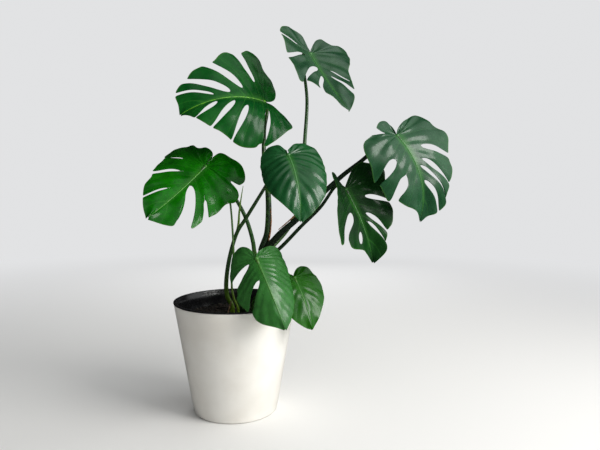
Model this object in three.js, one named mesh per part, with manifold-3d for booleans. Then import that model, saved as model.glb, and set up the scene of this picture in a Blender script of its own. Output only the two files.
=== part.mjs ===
// A potted monstera: a plain tapered cover pot, a dark inner pot, soil and a young many-leaved plant.
// Millimetres, +Z up, origin at the centre of the pot's underside. The plant's front looks along -Y.
import * as THREE from "three";
import { mergeVertices } from "three/addons/utils/BufferGeometryUtils.js";
import Module from "manifold-3d";

const wasm = await Module();
wasm.setup();

// ---------------------------------------------------------------- driving dimensions
const potHeight = 258; // floor to the top of the rim
const potTopRadius = 140;
const potBaseRadius = 97;
const potWall = 3.6;
const potFloor = 5;
const potFootRound = 5;
const linerWall = 2.2;
const linerFloor = 3;
const linerRimThickness = 3;
const linerSeatGap = 1.5; // between the liner's wall and the pot's wall
const linerFootGap = 12; // the liner hangs by its rim this far above the pot's floor
const drainHoleRadius = 4;
const drainHoleCount = 6;
const soilDrop = 35; // rim down to the soil
const soilMound = 5; // the soil is this much higher in the middle
const crownHeight = 610; // soil up to the seat of the highest leaf
const bladeThickness = 1.4;
const midribThickness = 4.4; // the blade is this thick along its middle
const knuckleRadius = 5; // the knuckle where a stalk meets its blade
const mainStemRadius = 11;
const mainStemTaper = 1;
const rootedDepth = 26; // how far stems go down into the soil
const fitGap = 0.3; // between pieces that touch

const crownHeightAsDrawn = 610; // the plant's places below are drawn for this crown height
const growth = crownHeight / crownHeightAsDrawn;
const linerRimBulge = 0.6; // the liner's rim stands out past the pot and in past its own wall
const linerRimTopInset = 0.8;
const drainCircleShare = 0.6; // of the liner's bottom radius

// How finely round things are cut.
const latheSteps = 40;
const footSteps = 4;
const holeSides = 12;
const soilRings = 6;
const stalkSides = 8;
const stalkSteps = 14;
const smallStemSteps = 10;
const mainStemSides = 12;
const mainStemSteps = 6;

// ---------------------------------------------------------------- solids
function solidFrom(geometry) {
  const bare = geometry.clone();
  bare.deleteAttribute("normal");
  bare.deleteAttribute("uv");
  const merged = mergeVertices(bare, 1e-4);
  const corners = [];
  for (let i = 0; i < merged.index.count; i += 3) {
    const a = merged.index.getX(i);
    const b = merged.index.getX(i + 1);
    const c = merged.index.getX(i + 2);
    if (a !== b && b !== c && a !== c) corners.push(a, b, c);
  }
  return new wasm.Manifold(
    new wasm.Mesh({
      numProp: 3,
      vertProperties: new Float32Array(merged.attributes.position.array),
      triVerts: new Uint32Array(corners),
    }),
  );
}

function geometryFrom(solid) {
  const mesh = solid.getMesh();
  const geometry = new THREE.BufferGeometry();
  geometry.setAttribute("position", new THREE.BufferAttribute(mesh.vertProperties, 3));
  geometry.setIndex(new THREE.BufferAttribute(mesh.triVerts, 1));
  geometry.computeVertexNormals();
  return geometry;
}

// Moves every vertex of a geometry through place(x, y, z), which returns a Vector3.
function reshape(geometry, place) {
  const position = geometry.attributes.position;
  for (let i = 0; i < position.count; i += 1) {
    const p = place(position.getX(i), position.getY(i), position.getZ(i));
    position.setXYZ(i, p.x, p.y, p.z);
  }
  return geometry;
}

// ---------------------------------------------------------------- materials
function finish(color, roughness) {
  return new THREE.MeshStandardMaterial({ color, roughness, metalness: 0 });
}
const potWhite = finish(0xe9e3d8, 0.35);
const linerBlack = finish(0x141416, 0.25);
const soilBrown = finish(0x2a211b, 0.95);
const leafGreen = finish(0x1f5a2c, 0.4);
const stalkGreen = finish(0x2f6b34, 0.45);
const youngGreen = finish(0x7da43a, 0.45);
const sheathBrown = finish(0x8a5a34, 0.8);
const woodTan = finish(0xb08a5c, 0.8);
const rootBrown = finish(0x3d2a20, 0.85);

const plant = new THREE.Group();

function addPiece(name, geometry, material) {
  const mesh = new THREE.Mesh(geometry, material);
  mesh.name = name;
  plant.add(mesh);
}

// ---------------------------------------------------------------- pot, liner and soil
const potRimHeight = potHeight - linerRimThickness - fitGap;

function potRadiusAt(height) {
  return potBaseRadius + ((potTopRadius - potBaseRadius) * height) / potHeight;
}

function linerOuterRadiusAt(height) {
  return potRadiusAt(height) - potWall - linerSeatGap;
}

function linerInnerRadiusAt(height) {
  return linerOuterRadiusAt(height) - linerWall;
}

function lathe(points) {
  return new THREE.LatheGeometry(points, latheSteps).rotateX(Math.PI / 2);
}

function coverPot() {
  const profile = [new THREE.Vector2(0, 0)];
  for (let i = 0; i <= footSteps; i += 1) {
    const turn = (-Math.PI / 2) * (1 - i / footSteps);
    profile.push(
      new THREE.Vector2(
        potBaseRadius - potFootRound + potFootRound * Math.cos(turn),
        potFootRound + potFootRound * Math.sin(turn),
      ),
    );
  }
  profile.push(new THREE.Vector2(potRadiusAt(potRimHeight), potRimHeight));
  profile.push(new THREE.Vector2(potRadiusAt(potRimHeight) - potWall, potRimHeight));
  profile.push(new THREE.Vector2(potRadiusAt(potFloor) - potWall, potFloor));
  profile.push(new THREE.Vector2(0, potFloor));
  return lathe(profile);
}

const linerBase = potFloor + linerFootGap;
const soilRim = potHeight - soilDrop;

function innerPot() {
  const rimLow = potRimHeight + fitGap;
  const rimOuter = potRadiusAt(potHeight);
  const shell = lathe([
    new THREE.Vector2(0, linerBase),
    new THREE.Vector2(linerOuterRadiusAt(linerBase), linerBase),
    new THREE.Vector2(linerOuterRadiusAt(rimLow), rimLow),
    new THREE.Vector2(rimOuter, rimLow),
    new THREE.Vector2(rimOuter + linerRimBulge, rimLow + linerRimThickness / 2),
    new THREE.Vector2(rimOuter - linerRimTopInset, potHeight),
    new THREE.Vector2(linerInnerRadiusAt(potHeight) + linerRimBulge, potHeight),
    new THREE.Vector2(linerInnerRadiusAt(rimLow), rimLow),
    new THREE.Vector2(linerInnerRadiusAt(linerBase + linerFloor), linerBase + linerFloor),
    new THREE.Vector2(0, linerBase + linerFloor),
  ]);
  let solid = solidFrom(shell);
  const holeCircle = linerOuterRadiusAt(linerBase) * drainCircleShare;
  const drillLength = linerFloor * 4;
  for (let i = 0; i < drainHoleCount; i += 1) {
    const angle = (i / drainHoleCount) * Math.PI * 2;
    const drill = new THREE.CylinderGeometry(drainHoleRadius, drainHoleRadius, drillLength, holeSides)
      .rotateX(Math.PI / 2)
      .translate(holeCircle * Math.cos(angle), holeCircle * Math.sin(angle), linerBase);
    solid = solid.subtract(solidFrom(drill));
  }
  return solid;
}

function soilSurfaceAt(radius) {
  const edge = linerInnerRadiusAt(soilRim) - fitGap;
  return soilRim + soilMound * (1 - (radius / edge) ** 2);
}

function soilPlug() {
  const low = linerBase + linerFloor + fitGap;
  const edgeAt = (height) => linerInnerRadiusAt(height) - fitGap;
  const profile = [new THREE.Vector2(0, low), new THREE.Vector2(edgeAt(low), low)];
  for (let i = soilRings; i >= 0; i -= 1) {
    const radius = (edgeAt(soilRim) * i) / soilRings;
    profile.push(new THREE.Vector2(radius, soilSurfaceAt(radius)));
  }
  return solidFrom(lathe(profile));
}

// ---------------------------------------------------------------- plant frame
// Plant places are drawn in millimetres from the middle of the soil's edge level and grow with the crown.
function inPlant([x, y, z]) {
  return new THREE.Vector3(x * growth, y * growth, soilRim + z * growth);
}

// A place beside or beyond the pot's rim, drawn for the first of these radii, keeps its distance from it.
const potTopRadiusAsDrawn = 140;
function pastRim([x, y, z]) {
  const move = (potTopRadius - potTopRadiusAsDrawn) / growth / Math.hypot(x, y);
  return [x * (1 + move), y * (1 + move), z];
}

// ---------------------------------------------------------------- stems
// A round stem along a smooth route, thick at its start and thin at its end.
function stemAlong(route, startRadius, endRadius, sides, steps) {
  const curve = new THREE.CatmullRomCurve3(route);
  const frames = curve.computeFrenetFrames(steps, false);
  const rod = new THREE.CylinderGeometry(1, 1, 1, sides, steps);
  return reshape(rod, (x, y, z) => {
    const along = 0.5 + y;
    const ring = Math.round(along * steps);
    const radius = startRadius + (endRadius - startRadius) * along;
    return curve
      .getPointAt(along)
      .addScaledVector(frames.normals[ring], z * radius)
      .addScaledVector(frames.binormals[ring], x * radius);
  });
}

const mainStemRoute = [
  [14, 8, -rootedDepth],
  [20, 5, 20],
  [34, 2, 68],
  [52, 0, 112],
  [66, -2, 150],
  [70, -2, 168],
];

const stalkDesigns = {
  stalk_upper_left: {
    route: [[70, -2, 169], [76, -3, 190], [79, -3, 224], [78, -2, 284], [72, -1, 336], [69, 0, 372],
      [70, 6, 430]],
    leaf: "leaf_upper_left",
    radii: [8, 3.2],
    clasps: true,
  },
  stalk_top: {
    route: [[66, -2, 146], [90, 18, 162], [118, 30, 192], [150, 42, 244], [161, 52, 314], [162, 58, 390],
      [168, 62, 502]],
    leaf: "leaf_top",
    radii: [6, 3],
    clasps: true,
  },
  stalk_right: {
    route: [[64, -2, 142], [86, -12, 168], [108, -15, 192], [143, -18, 222], [192, -14, 271],
      [248, -10, 322], [302, -16, 365]],
    leaf: "leaf_right",
    radii: [7.6, 3.4],
    clasps: true,
  },
  stalk_lower_right: {
    route: [[58, 0, 126], [78, -16, 138], [102, -20, 154], [155, -32, 209], [197, -48, 252]],
    leaf: "leaf_lower_right",
    radii: [4.4, 3.2],
    clasps: true,
  },
  stalk_left: {
    route: [[54, 0, 118], [47, -14, 148], [45, -20, 168], [39, -28, 197], [30, -34, 226], [11, -36, 264],
      [-23, -30, 307]],
    leaf: "leaf_left",
    radii: [5, 3],
    clasps: true,
  },
  stalk_heart: {
    route: [[-6, -22, -rootedDepth], [-4, -22, 24], [-14, -26, 46], [-16, -32, 75], [-7, -42, 136],
      [12, -52, 196], [32, -60, 227], [76, -78, 296]],
    leaf: "leaf_heart",
    radii: [5.4, 2.8],
  },
  stalk_front: {
    route: [[8, -12, -rootedDepth], [9, -11, 29], [13, -20, 61], [25, -40, 90], [40, -76, 117]],
    leaf: "leaf_front",
    radii: [4, 2.6],
  },
  stalk_front_small: {
    route: [[36, 8, -rootedDepth], [44, 0, 34], [66, -8, 58], [95, -20, 82]],
    leaf: "leaf_front_small",
    radii: [3.4, 2.4],
  },
};

// Small growths and loose things; each is trimmed clear of what it meets.
const smallStemDesigns = {
  dry_sheath_upper: {
    route: [[79, -8, 172], [83, -9, 190], [86, -9, 224], [84, -8, 250]],
    radii: [2.4, 0.6],
    material: sheathBrown,
    meets: ["stalk_upper_left", "stalk_right"],
  },
  dry_sheath_right: {
    route: [[102, -15, 199], [120, -16, 214], [137, -17, 229], [147, -19, 241]],
    radii: [1.2, 2.6],
    material: sheathBrown,
    meets: ["stalk_right"],
  },
  new_leaf_spike: {
    route: [[8, -50, 186], [13, -45, 204], [15, -44, 218], [17, -46, 244], [22, -48, 278], [26, -50, 299]],
    radii: [3.2, 0.8],
    material: youngGreen,
    meets: ["stalk_heart"],
  },
  thin_stalk: {
    route: [[13, -35, -rootedDepth], [11, -35, 20], [2, -39, 46], [-2, -42, 72], [-1, -46, 95],
      [4, -55, 144],
      [4, -60, 179], [-1, -58, 254], [-7, -49, 286], [-12, -38, 310]],
    radii: [2.8, 2.2],
    material: youngGreen,
    meets: [],
    rooted: true,
  },
  rolled_young_leaf: {
    route: [[-12, -38, 310], [-16, -30, 328], [-21, -20, 348]],
    radii: [3.6, 0.9],
    material: youngGreen,
    meets: ["thin_stalk"],
  },
  wood_stick: {
    route: [[-22, -25, -20], [-12, -30, 13], [-4, -34, 39]],
    radii: [1.7, 1.7],
    material: woodTan,
    meets: [],
    rooted: true,
  },
  aerial_root: {
    route: [[70, -3, 155], [80, -14, 158], [88, -22, 158], [95, -28, 153]],
    radii: [3.2, 1.6],
    material: rootBrown,
    meets: ["stalk_right", "stalk_lower_right"],
  },
};

// ---------------------------------------------------------------- leaves
// A blade is drawn flat: the stalk joins it at (0, 0), the midrib runs to (0, length) and x goes to its
// sides. right and left are the margin from the stalk round to the tip. A split or hole lies along one
// side vein: at is the vein's place on the margin, 0 at the stalk and 1 at the tip; from and to are
// shares of the vein's length; belly and mouth are half-widths, as shares of the margin's length.
// seat, aim and face place the blade in the plant; the bends are in degrees.
const leafDesigns = {
  leaf_upper_left: {
    seat: [70, 0, 490],
    aim: [-0.74, -0.64, 0.2],
    face: [0.52, -0.35, 0.78],
    length: 206,
    bends: { arch: 59, back: 13, foldLeft: 6, foldRight: 25, droopLeft: 58, droopRight: 7, twist: 9 },
    right: [[0, -5], [14, -32], [42, -42], [70, -38], [100, -22], [130, -14], [148, -5], [150, 10],
      [134, 30],
      [125, 46], [121, 72], [97, 97], [91, 121], [82, 141], [67, 158], [60, 171], [45, 191], [22, 196],
      [0, 206]],
    left: [[0, -5], [-20, -20], [-66, -58], [-80, -42], [-104, -18], [-126, 8], [-122, 34], [-130, 45],
      [-130, 70],
      [-124, 97], [-110, 118], [-100, 125], [-82, 140], [-67, 156], [-50, 168], [-34, 178], [-14, 190],
      [0, 206]],
    rightSplits: [
      { at: 0.5, from: 0.37, belly: 0.016, mouth: 0.02 },
      { at: 0.68, from: 0.24, belly: 0.03, mouth: 0.021 },
      { at: 0.82, from: 0.16, belly: 0.03, mouth: 0.016 },
      { at: 0.893, from: 0.2, belly: 0.007, mouth: 0.005 },
    ],
    leftSplits: [
      { at: 0.44, from: 0.27, belly: 0.038, mouth: 0.01 },
      { at: 0.68, from: 0.27, belly: 0.025, mouth: 0.004 },
      { at: 0.81, from: 0.16, belly: 0.022, mouth: 0.004 },
      { at: 0.905, from: 0.15, belly: 0.016, mouth: 0.004 },
    ],
  },
  leaf_top: {
    seat: [176, 60, 610],
    aim: [0.36, -0.53, -0.77],
    face: [0.5, -0.58, 0.64],
    length: 206,
    bends: { arch: -9, back: 12, foldLeft: 21, foldRight: 19, droopLeft: 29, droopRight: 17, twist: -4 },
    right: [[0, -5], [2, -25], [4, -42], [18, -56], [46, -58], [76, -50], [94, -25], [96, 0], [100, 28],
      [104, 52],
      [100, 75], [104, 110], [102, 137], [84, 135], [77, 140], [61, 160], [42, 176], [0, 206]],
    left: [[0, -5], [-22, -34], [-34, -46], [-50, -50], [-60, -40], [-72, -32], [-100, -40], [-124, -40],
      [-129, -25], [-112, 12], [-84, 52], [-59, 118], [-42, 160], [-22, 186], [0, 206]],
    rightSplits: [
      { at: 0.35, from: 0.45, belly: 0.01, mouth: 0.007 },
      { at: 0.52, from: 0.29, belly: 0.014, mouth: 0.01 },
      { at: 0.735, from: 0.08, belly: 0.034, mouth: 0.008 },
      { at: 0.84, from: 0.17, belly: 0.017, mouth: 0.014 },
    ],
    leftSplits: [
      { at: 0.735, from: 0.35, to: 0.93, belly: 0.008 },
      { at: 0.815, from: 0.28, belly: 0.009, mouth: 0.006 },
    ],
  },
  leaf_right: {
    seat: [363, -60, 408],
    aim: [0.65, -0.25, -0.72],
    face: [0.46, -0.62, 0.63],
    length: 213,
    bends: { arch: 68, back: 9, foldLeft: 20, foldRight: 6, droopLeft: 21, droopRight: 43, twist: -20 },
    right: [[0, -4], [-3, -22], [4, -38], [22, -44], [42, -38], [56, -30], [93, -24], [104, -10], [110, 28],
      [117, 73], [106, 90], [103, 106], [90, 140], [76, 134], [70, 142], [52, 158], [27, 174], [0, 213]],
    left: [[0, -4], [-18, -14], [-48, -20], [-86, -20], [-108, -8], [-117, 26], [-130, 45], [-122, 64],
      [-100, 84], [-100, 100], [-96, 115], [-76, 139], [-60, 162], [-64, 174], [-46, 190], [-15, 199],
      [0, 213]],
    rightSplits: [
      { at: 0.21, from: 0.57, belly: 0.006, mouth: 0.014 },
      { at: 0.555, from: 0.47, belly: 0.038, mouth: 0.015 },
      { at: 0.735, from: 0.46, belly: 0.046, mouth: 0.021 },
    ],
    leftSplits: [
      { at: 0.565, from: 0.32, belly: 0.026, mouth: 0.009 },
      { at: 0.71, from: 0.22, belly: 0.022, mouth: 0.004 },
      { at: 0.79, from: 0.1, belly: 0.02, mouth: 0.004 },
      { at: 0.875, from: 0.11, belly: 0.015, mouth: 0.004 },
    ],
  },
  leaf_lower_right: {
    seat: [252, -60, 291],
    aim: [0.49, -0.22, -0.85],
    face: [0.41, -0.8, 0.44],
    length: 177,
    bends: { arch: 33, back: 8, foldLeft: 21, foldRight: 26, droopLeft: 17, droopRight: -2, twist: -10 },
    right: [[0, -5], [2, -24], [8, -40], [19, -46], [28, -37], [32, -16], [46, 4], [66, 22], [90, 50],
      [112, 97], [90, 97], [74, 98], [71, 114], [26, 137], [0, 177]],
    left: [[0, -5], [-14, -17], [-40, -36], [-64, -41], [-90, -28], [-109, -3], [-95, 22], [-84, 58],
      [-82, 80],
      [-70, 106], [-53, 117], [-48, 126], [-40, 138], [-34, 156], [0, 177]],
    rightSplits: [
      { at: 0.66, from: 0.28, belly: 0.062, mouth: 0.036 },
      { at: 0.84, from: 0.42, to: 0.82, belly: 0.018 },
    ],
    leftSplits: [
      { at: 0.58, from: 0.36, belly: 0.023, mouth: 0.006 },
      { at: 0.775, from: 0.26, belly: 0.022, mouth: 0.005 },
      { at: 0.845, from: 0.24, belly: 0.016, mouth: 0.005 },
    ],
  },
  leaf_left: {
    seat: [-59, -40, 342],
    aim: [-0.52, -0.55, -0.65],
    face: [0.02, -0.77, 0.64],
    length: 191,
    bends: { arch: -14, back: 14, foldLeft: 7, foldRight: 11, droopLeft: 36, droopRight: 33, twist: 17 },
    right: [[0, -8], [3, -26], [10, -42], [33, -47], [50, -36], [66, -40], [98, -22], [112, 2], [108, 18],
      [99, 24], [94, 50], [87, 75], [76, 92], [63, 129], [48, 150], [24, 176], [0, 191]],
    left: [[0, -8], [0, -30], [-8, -46], [-36, -46], [-70, -42], [-94, -20], [-90, 2], [-104, 14],
      [-106, 32],
      [-94, 50], [-93, 75], [-86, 98], [-82, 115], [-76, 142], [-57, 134], [-44, 146], [-47, 166],
      [-12, 184],
      [0, 191]],
    rightSplits: [
      { at: 0.475, from: 0.52, belly: 0.009, mouth: 0.005 },
      { at: 0.635, from: 0.4, belly: 0.01, mouth: 0.005 },
      { at: 0.85, from: 0.39, belly: 0.008, mouth: 0.005 },
    ],
    leftSplits: [
      { at: 0.372, from: 0.78, belly: 0.007, mouth: 0.012 },
      { at: 0.645, from: 0.62, belly: 0.013, mouth: 0.017 },
      { at: 0.782, from: 0.1, belly: 0.046, mouth: 0.044 },
    ],
  },
  leaf_heart: {
    seat: [127, -110, 364],
    aim: [0.31, -0.73, -0.61],
    face: [0.22, -0.57, 0.8],
    length: 159,
    bends: { arch: 56, back: 8, foldLeft: 9, foldRight: -1, droopLeft: 39, droopRight: 66, twist: 5 },
    right: [[0, -8], [10, -28], [30, -33], [52, -20], [66, 10], [68, 50], [60, 88], [42, 112],
      [16, 141], [0, 159]],
    left: [[0, -8], [-10, -20], [-28, -31], [-50, -32], [-74, -22], [-81, 8], [-72, 58], [-63, 92],
      [-41, 125],
      [-16, 148], [0, 159]],
    rightSplits: [],
    leftSplits: [],
  },
  leaf_front: {
    seat: pastRim([61, -135, 149]),
    aim: [0.39, -0.57, -0.72],
    face: [-0.05, -0.8, 0.6],
    length: 164,
    bends: { arch: 38, back: 11, foldLeft: -12, foldRight: -4, droopLeft: 63, droopRight: 66, twist: 15 },
    right: [[0, -6], [4, -24], [18, -39], [38, -40], [60, -18], [82, -2], [84, 8], [74, 22], [72, 44],
      [80, 64],
      [62, 100], [56, 106], [47, 128], [14, 152], [0, 164]],
    left: [[0, -6], [-12, -16], [-32, -24], [-58, -26], [-78, -18], [-88, 2], [-88, 34], [-80, 68],
      [-66, 100], [-44, 128], [-20, 150], [0, 164]],
    rightSplits: [
      { at: 0.46, from: 0.25, belly: 0.036, mouth: 0.04 },
      { at: 0.73, from: 0.18, belly: 0.028, mouth: 0.013 },
    ],
    leftSplits: [],
  },
  leaf_front_small: {
    seat: pastRim([139, -48, 94]),
    aim: [0.4, -0.62, -0.68],
    face: [0.17, -0.68, 0.72],
    length: 126,
    bends: { arch: 35, back: 12, foldLeft: 9, foldRight: 11, droopLeft: 39, droopRight: 36, twist: -1 },
    right: [[0, -8], [10, -24], [28, -28], [46, -16], [54, 8], [55, 40], [48, 72], [34, 98], [16, 116],
      [0, 126]],
    left: [[0, -8], [-8, -18], [-20, -27], [-36, -29], [-50, -19], [-58, 2], [-65, 32], [-58, 58],
      [-38, 88],
      [-20, 107], [0, 126]],
    rightSplits: [],
    leftSplits: [],
  },
};

// How the side veins run, the same on every leaf.
const basalReach = 0.1; // veins to the margin behind this share of the length start at the stalk
const veinEvenStep = 0.45; // share of the vein starts that is evenly spaced; the rest crowd at the tip
const veinTipPower = 6;
const veinBow = 0.45; // how far a vein leaves sideways before it turns to the margin
const splitRootShare = 0.25; // share of a split over which its round root opens

function leafFrame(leaf) {
  const forward = new THREE.Vector3(...leaf.aim).normalize();
  const up = new THREE.Vector3(...leaf.face);
  up.addScaledVector(forward, -up.dot(forward)).normalize();
  const across = new THREE.Vector3().crossVectors(forward, up);
  return { across, forward, up };
}

// An arc's two coordinates after length s with turn per length k: along and out of the starting line.
function arc(s, k) {
  if (Math.abs(k) < 1e-7) return [s, 0];
  return [Math.sin(k * s) / k, (1 - Math.cos(k * s)) / k];
}

// The bent blade: a point x, y of the flat drawing and z above it, placed in the plant.
function onLeaf(leaf, x, y, z) {
  const { across, forward, up } = leafFrame(leaf);
  const bends = leaf.bends;
  const radians = THREE.MathUtils.degToRad;
  const alongTurn = y >= 0 ? radians(bends.arch) / leaf.length : -radians(bends.back) / leaf.length;
  const [alongY, sinkY] = arc(y, alongTurn);
  const sideSign = x >= -1e-6 ? 1 : -1;
  const foldBase = sideSign > 0 ? bends.foldRight : bends.foldLeft;
  const fold = radians(foldBase + (sideSign * bends.twist * y) / leaf.length);
  const droop = (radians(sideSign > 0 ? bends.droopRight : bends.droopLeft) * 2) / leaf.length;
  const [run, sink] = arc(Math.abs(x), droop);
  const tilt = fold - droop * Math.abs(x);
  const thick = z / growth;
  const side = sideSign * (run * Math.cos(fold) + sink * Math.sin(fold) - thick * Math.sin(tilt));
  const rise = run * Math.sin(fold) - sink * Math.cos(fold) + thick * Math.cos(tilt);
  const lean = alongTurn * y;
  const local = new THREE.Vector3(...leaf.seat)
    .addScaledVector(across, side)
    .addScaledVector(forward, alongY + rise * Math.sin(lean))
    .addScaledVector(up, -sinkY + rise * Math.cos(lean));
  return inPlant(local.toArray());
}

// One half of a blade as a field of veins: vein(at, share) is the point of the flat drawing at a share
// of the length of the side vein that ends at a place on the margin.
function veinField(margin, length, sideSign) {
  const curve = new THREE.CatmullRomCurve3(margin.map(([x, y]) => new THREE.Vector3(x, y, 0)));
  curve.arcLengthDivisions = 400;
  let basalEnd = 0;
  while (curve.getPointAt(basalEnd).y < basalReach * length) basalEnd += 0.01;
  return (at, share) => {
    const end = curve.getPointAt(at);
    const step = Math.max(0, (at - basalEnd) / (1 - basalEnd));
    const startY = length * (veinEvenStep * step + (1 - veinEvenStep) * step ** veinTipPower);
    const start = new THREE.Vector3(0, startY, 0);
    const chord = end.clone().sub(start);
    const span = chord.length();
    const bend = chord.clone().divideScalar(span);
    bend.x += veinBow * sideSign;
    const turn = start.clone().addScaledVector(bend.normalize(), span / 2);
    return start
      .multiplyScalar((1 - share) ** 2)
      .addScaledVector(turn, 2 * share * (1 - share))
      .addScaledVector(end, share ** 2);
  };
}

// Half-width of a split at a share of its vein: a round root, a belly, and a mouth, or a closed hole.
function splitHalfWidth(split, share) {
  const last = split.to ?? 1;
  const t = (share - split.from) / (last - split.from);
  if (split.to) return split.belly * Math.sqrt(Math.max(0, 1 - (2 * t - 1) ** 2));
  if (t < splitRootShare) return split.belly * Math.sqrt(Math.max(0, 1 - (1 - t / splitRootShare) ** 2));
  const blend = THREE.MathUtils.smoothstep(t, splitRootShare, 1);
  return split.belly + (split.mouth - split.belly) * blend;
}

const veinSteps = 4; // quads along a side vein
const marginSteps = 12; // quads along the margin
const firstVein = 0.015; // the outermost veins stay this far from the stalk and the tip
const knuckleShare = 0.02; // veins start just off the midrib's middle
const halfOverlap = 0.4; // the halves reach this far past the midrib's middle, so that they join
const splitSteps = 6; // quads along the cutter of a split
const splitReach = 1.12; // an open split's cutter runs this far past the margin
const splitNarrow = 0.004; // the cutter starts this share of a vein inside the split, where it has a width
const midribShare = 0.25; // share of a side vein over which the midrib thins out to the blade

function thicknessAt(share, at) {
  const swell = Math.max(0, 1 - share / midribShare) * (1 - at ** 3);
  return bladeThickness + (midribThickness - bladeThickness) * swell;
}

function halfBlade(leaf, sideSign) {
  const margin = sideSign > 0 ? leaf.right : leaf.left;
  const splits = sideSign > 0 ? leaf.rightSplits : leaf.leftSplits;
  const vein = veinField(margin, leaf.length, sideSign);
  const placeAt = (at, share, z) => {
    const flat = vein(at, share);
    const x = flat.x - sideSign * halfOverlap * (1 - share);
    return { x, y: flat.y, z };
  };
  const bent = ({ x, y, z }) => onLeaf(leaf, x, y, z);
  const slab = new THREE.BoxGeometry(1, 1, 1, veinSteps, marginSteps, 1);
  reshape(slab, (x, y, z) => {
    const share = THREE.MathUtils.lerp(knuckleShare, 1, x * sideSign + 0.5);
    const at = THREE.MathUtils.lerp(firstVein, 1 - firstVein, y + 0.5);
    return bent(placeAt(at, share, z * thicknessAt(share, at)));
  });
  let solid = solidFrom(slab);
  for (const split of splits) {
    const first = split.from + splitNarrow;
    const last = split.to ? split.to - splitNarrow : splitReach;
    const cutter = new THREE.BoxGeometry(1, 1, 1, splitSteps, 1, 1);
    reshape(cutter, (x, y, z) => {
      const share = THREE.MathUtils.lerp(first, last, x * sideSign + 0.5);
      const at = split.at + 2 * y * splitHalfWidth(split, Math.min(share, 1));
      return bent(placeAt(at, share, z * midribThickness * 2));
    });
    solid = solid.subtract(solidFrom(cutter));
  }
  return solid;
}

function knuckle(leaf) {
  const ball = new THREE.SphereGeometry(knuckleRadius, 8, 5);
  const centre = inPlant(leaf.seat);
  ball.translate(centre.x, centre.y, centre.z);
  return solidFrom(ball);
}

function leafBlade(leaf) {
  return halfBlade(leaf, 1).add(halfBlade(leaf, -1)).add(knuckle(leaf));
}

// ---------------------------------------------------------------- joining the plant together
const arrivalTilt = 1.1; // how far back a stalk leans as it meets its leaf
const arrivalReach = 28; // and how far from the leaf it has that lean

function stalkRoute(design) {
  const leaf = leafDesigns[design.leaf];
  const { forward, up } = leafFrame(leaf);
  const arrival = up.clone().negate().addScaledVector(forward, -arrivalTilt).normalize();
  const seat = inPlant(leaf.seat);
  const route = design.route.map(inPlant);
  route.push(seat.clone().addScaledVector(arrival, arrivalReach));
  route.push(seat.clone().addScaledVector(arrival, knuckleRadius + fitGap));
  return route;
}

function stalkSolid(design, extra) {
  const [startRadius, endRadius] = design.radii.map((radius) => radius * growth);
  const route = stalkRoute(design);
  return solidFrom(stemAlong(route, startRadius + extra, endRadius + extra, stalkSides, stalkSteps));
}

function mainStem(extra) {
  const route = mainStemRoute.map(inPlant);
  const startRadius = mainStemRadius + extra;
  return solidFrom(stemAlong(route, startRadius, startRadius - mainStemTaper, mainStemSides, mainStemSteps));
}

function smallStem(design, extra) {
  const [startRadius, endRadius] = design.radii.map((radius) => radius * growth);
  const route = design.route.map(inPlant);
  return solidFrom(stemAlong(route, startRadius + extra, endRadius + extra, stalkSides, smallStemSteps));
}

function neighbour(name) {
  if (name in stalkDesigns) return stalkSolid(stalkDesigns[name], fitGap);
  return smallStem(smallStemDesigns[name], fitGap);
}

let soil = soilPlug().subtract(mainStem(fitGap));
addPiece("cover_pot", coverPot(), potWhite);
addPiece("inner_pot", geometryFrom(innerPot()), linerBlack);
addPiece("main_stem", geometryFrom(mainStem(0)), stalkGreen);

const clasping = [];
for (const [name, design] of Object.entries(stalkDesigns)) {
  let stalk = stalkSolid(design, 0);
  if (design.clasps) {
    stalk = stalk.subtract(mainStem(fitGap));
    for (const earlier of clasping) stalk = stalk.subtract(neighbour(earlier));
    clasping.push(name);
  } else {
    soil = soil.subtract(neighbour(name));
  }
  addPiece(name, geometryFrom(stalk), stalkGreen);
}
for (const [name, design] of Object.entries(smallStemDesigns)) {
  let stem = smallStem(design, 0);
  if (design.rooted) soil = soil.subtract(neighbour(name));
  else stem = stem.subtract(mainStem(fitGap));
  for (const met of design.meets) stem = stem.subtract(neighbour(met));
  addPiece(name, geometryFrom(stem), design.material);
}
for (const [name, leaf] of Object.entries(leafDesigns)) {
  addPiece(name, geometryFrom(leafBlade(leaf)), leafGreen);
}
addPiece("soil", geometryFrom(soil), soilBrown);

export default plant;
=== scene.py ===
import bisect
import math
import random

import bmesh
import bpy
from mathutils import Matrix, Vector, noise


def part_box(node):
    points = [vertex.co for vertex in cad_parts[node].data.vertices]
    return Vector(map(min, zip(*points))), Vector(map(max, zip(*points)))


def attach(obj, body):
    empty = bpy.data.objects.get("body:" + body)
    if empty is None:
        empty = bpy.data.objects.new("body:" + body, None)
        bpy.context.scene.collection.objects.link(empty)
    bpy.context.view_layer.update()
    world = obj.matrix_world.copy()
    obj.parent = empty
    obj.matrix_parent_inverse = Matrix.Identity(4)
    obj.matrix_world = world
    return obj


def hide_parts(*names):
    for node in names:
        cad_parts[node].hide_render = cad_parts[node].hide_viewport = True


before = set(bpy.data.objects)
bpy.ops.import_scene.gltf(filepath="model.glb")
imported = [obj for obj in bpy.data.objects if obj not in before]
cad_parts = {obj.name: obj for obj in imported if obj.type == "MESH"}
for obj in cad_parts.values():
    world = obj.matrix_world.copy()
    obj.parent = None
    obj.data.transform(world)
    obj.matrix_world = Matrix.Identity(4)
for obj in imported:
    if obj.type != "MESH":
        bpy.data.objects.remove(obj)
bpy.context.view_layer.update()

mm = 0.001
print("frame loaded")

# where the pot and its rims are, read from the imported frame
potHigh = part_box("cover_pot")[1]
linerLow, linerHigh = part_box("inner_pot")
rimHeight = linerHigh.z
rimRadius = linerHigh.x

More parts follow.
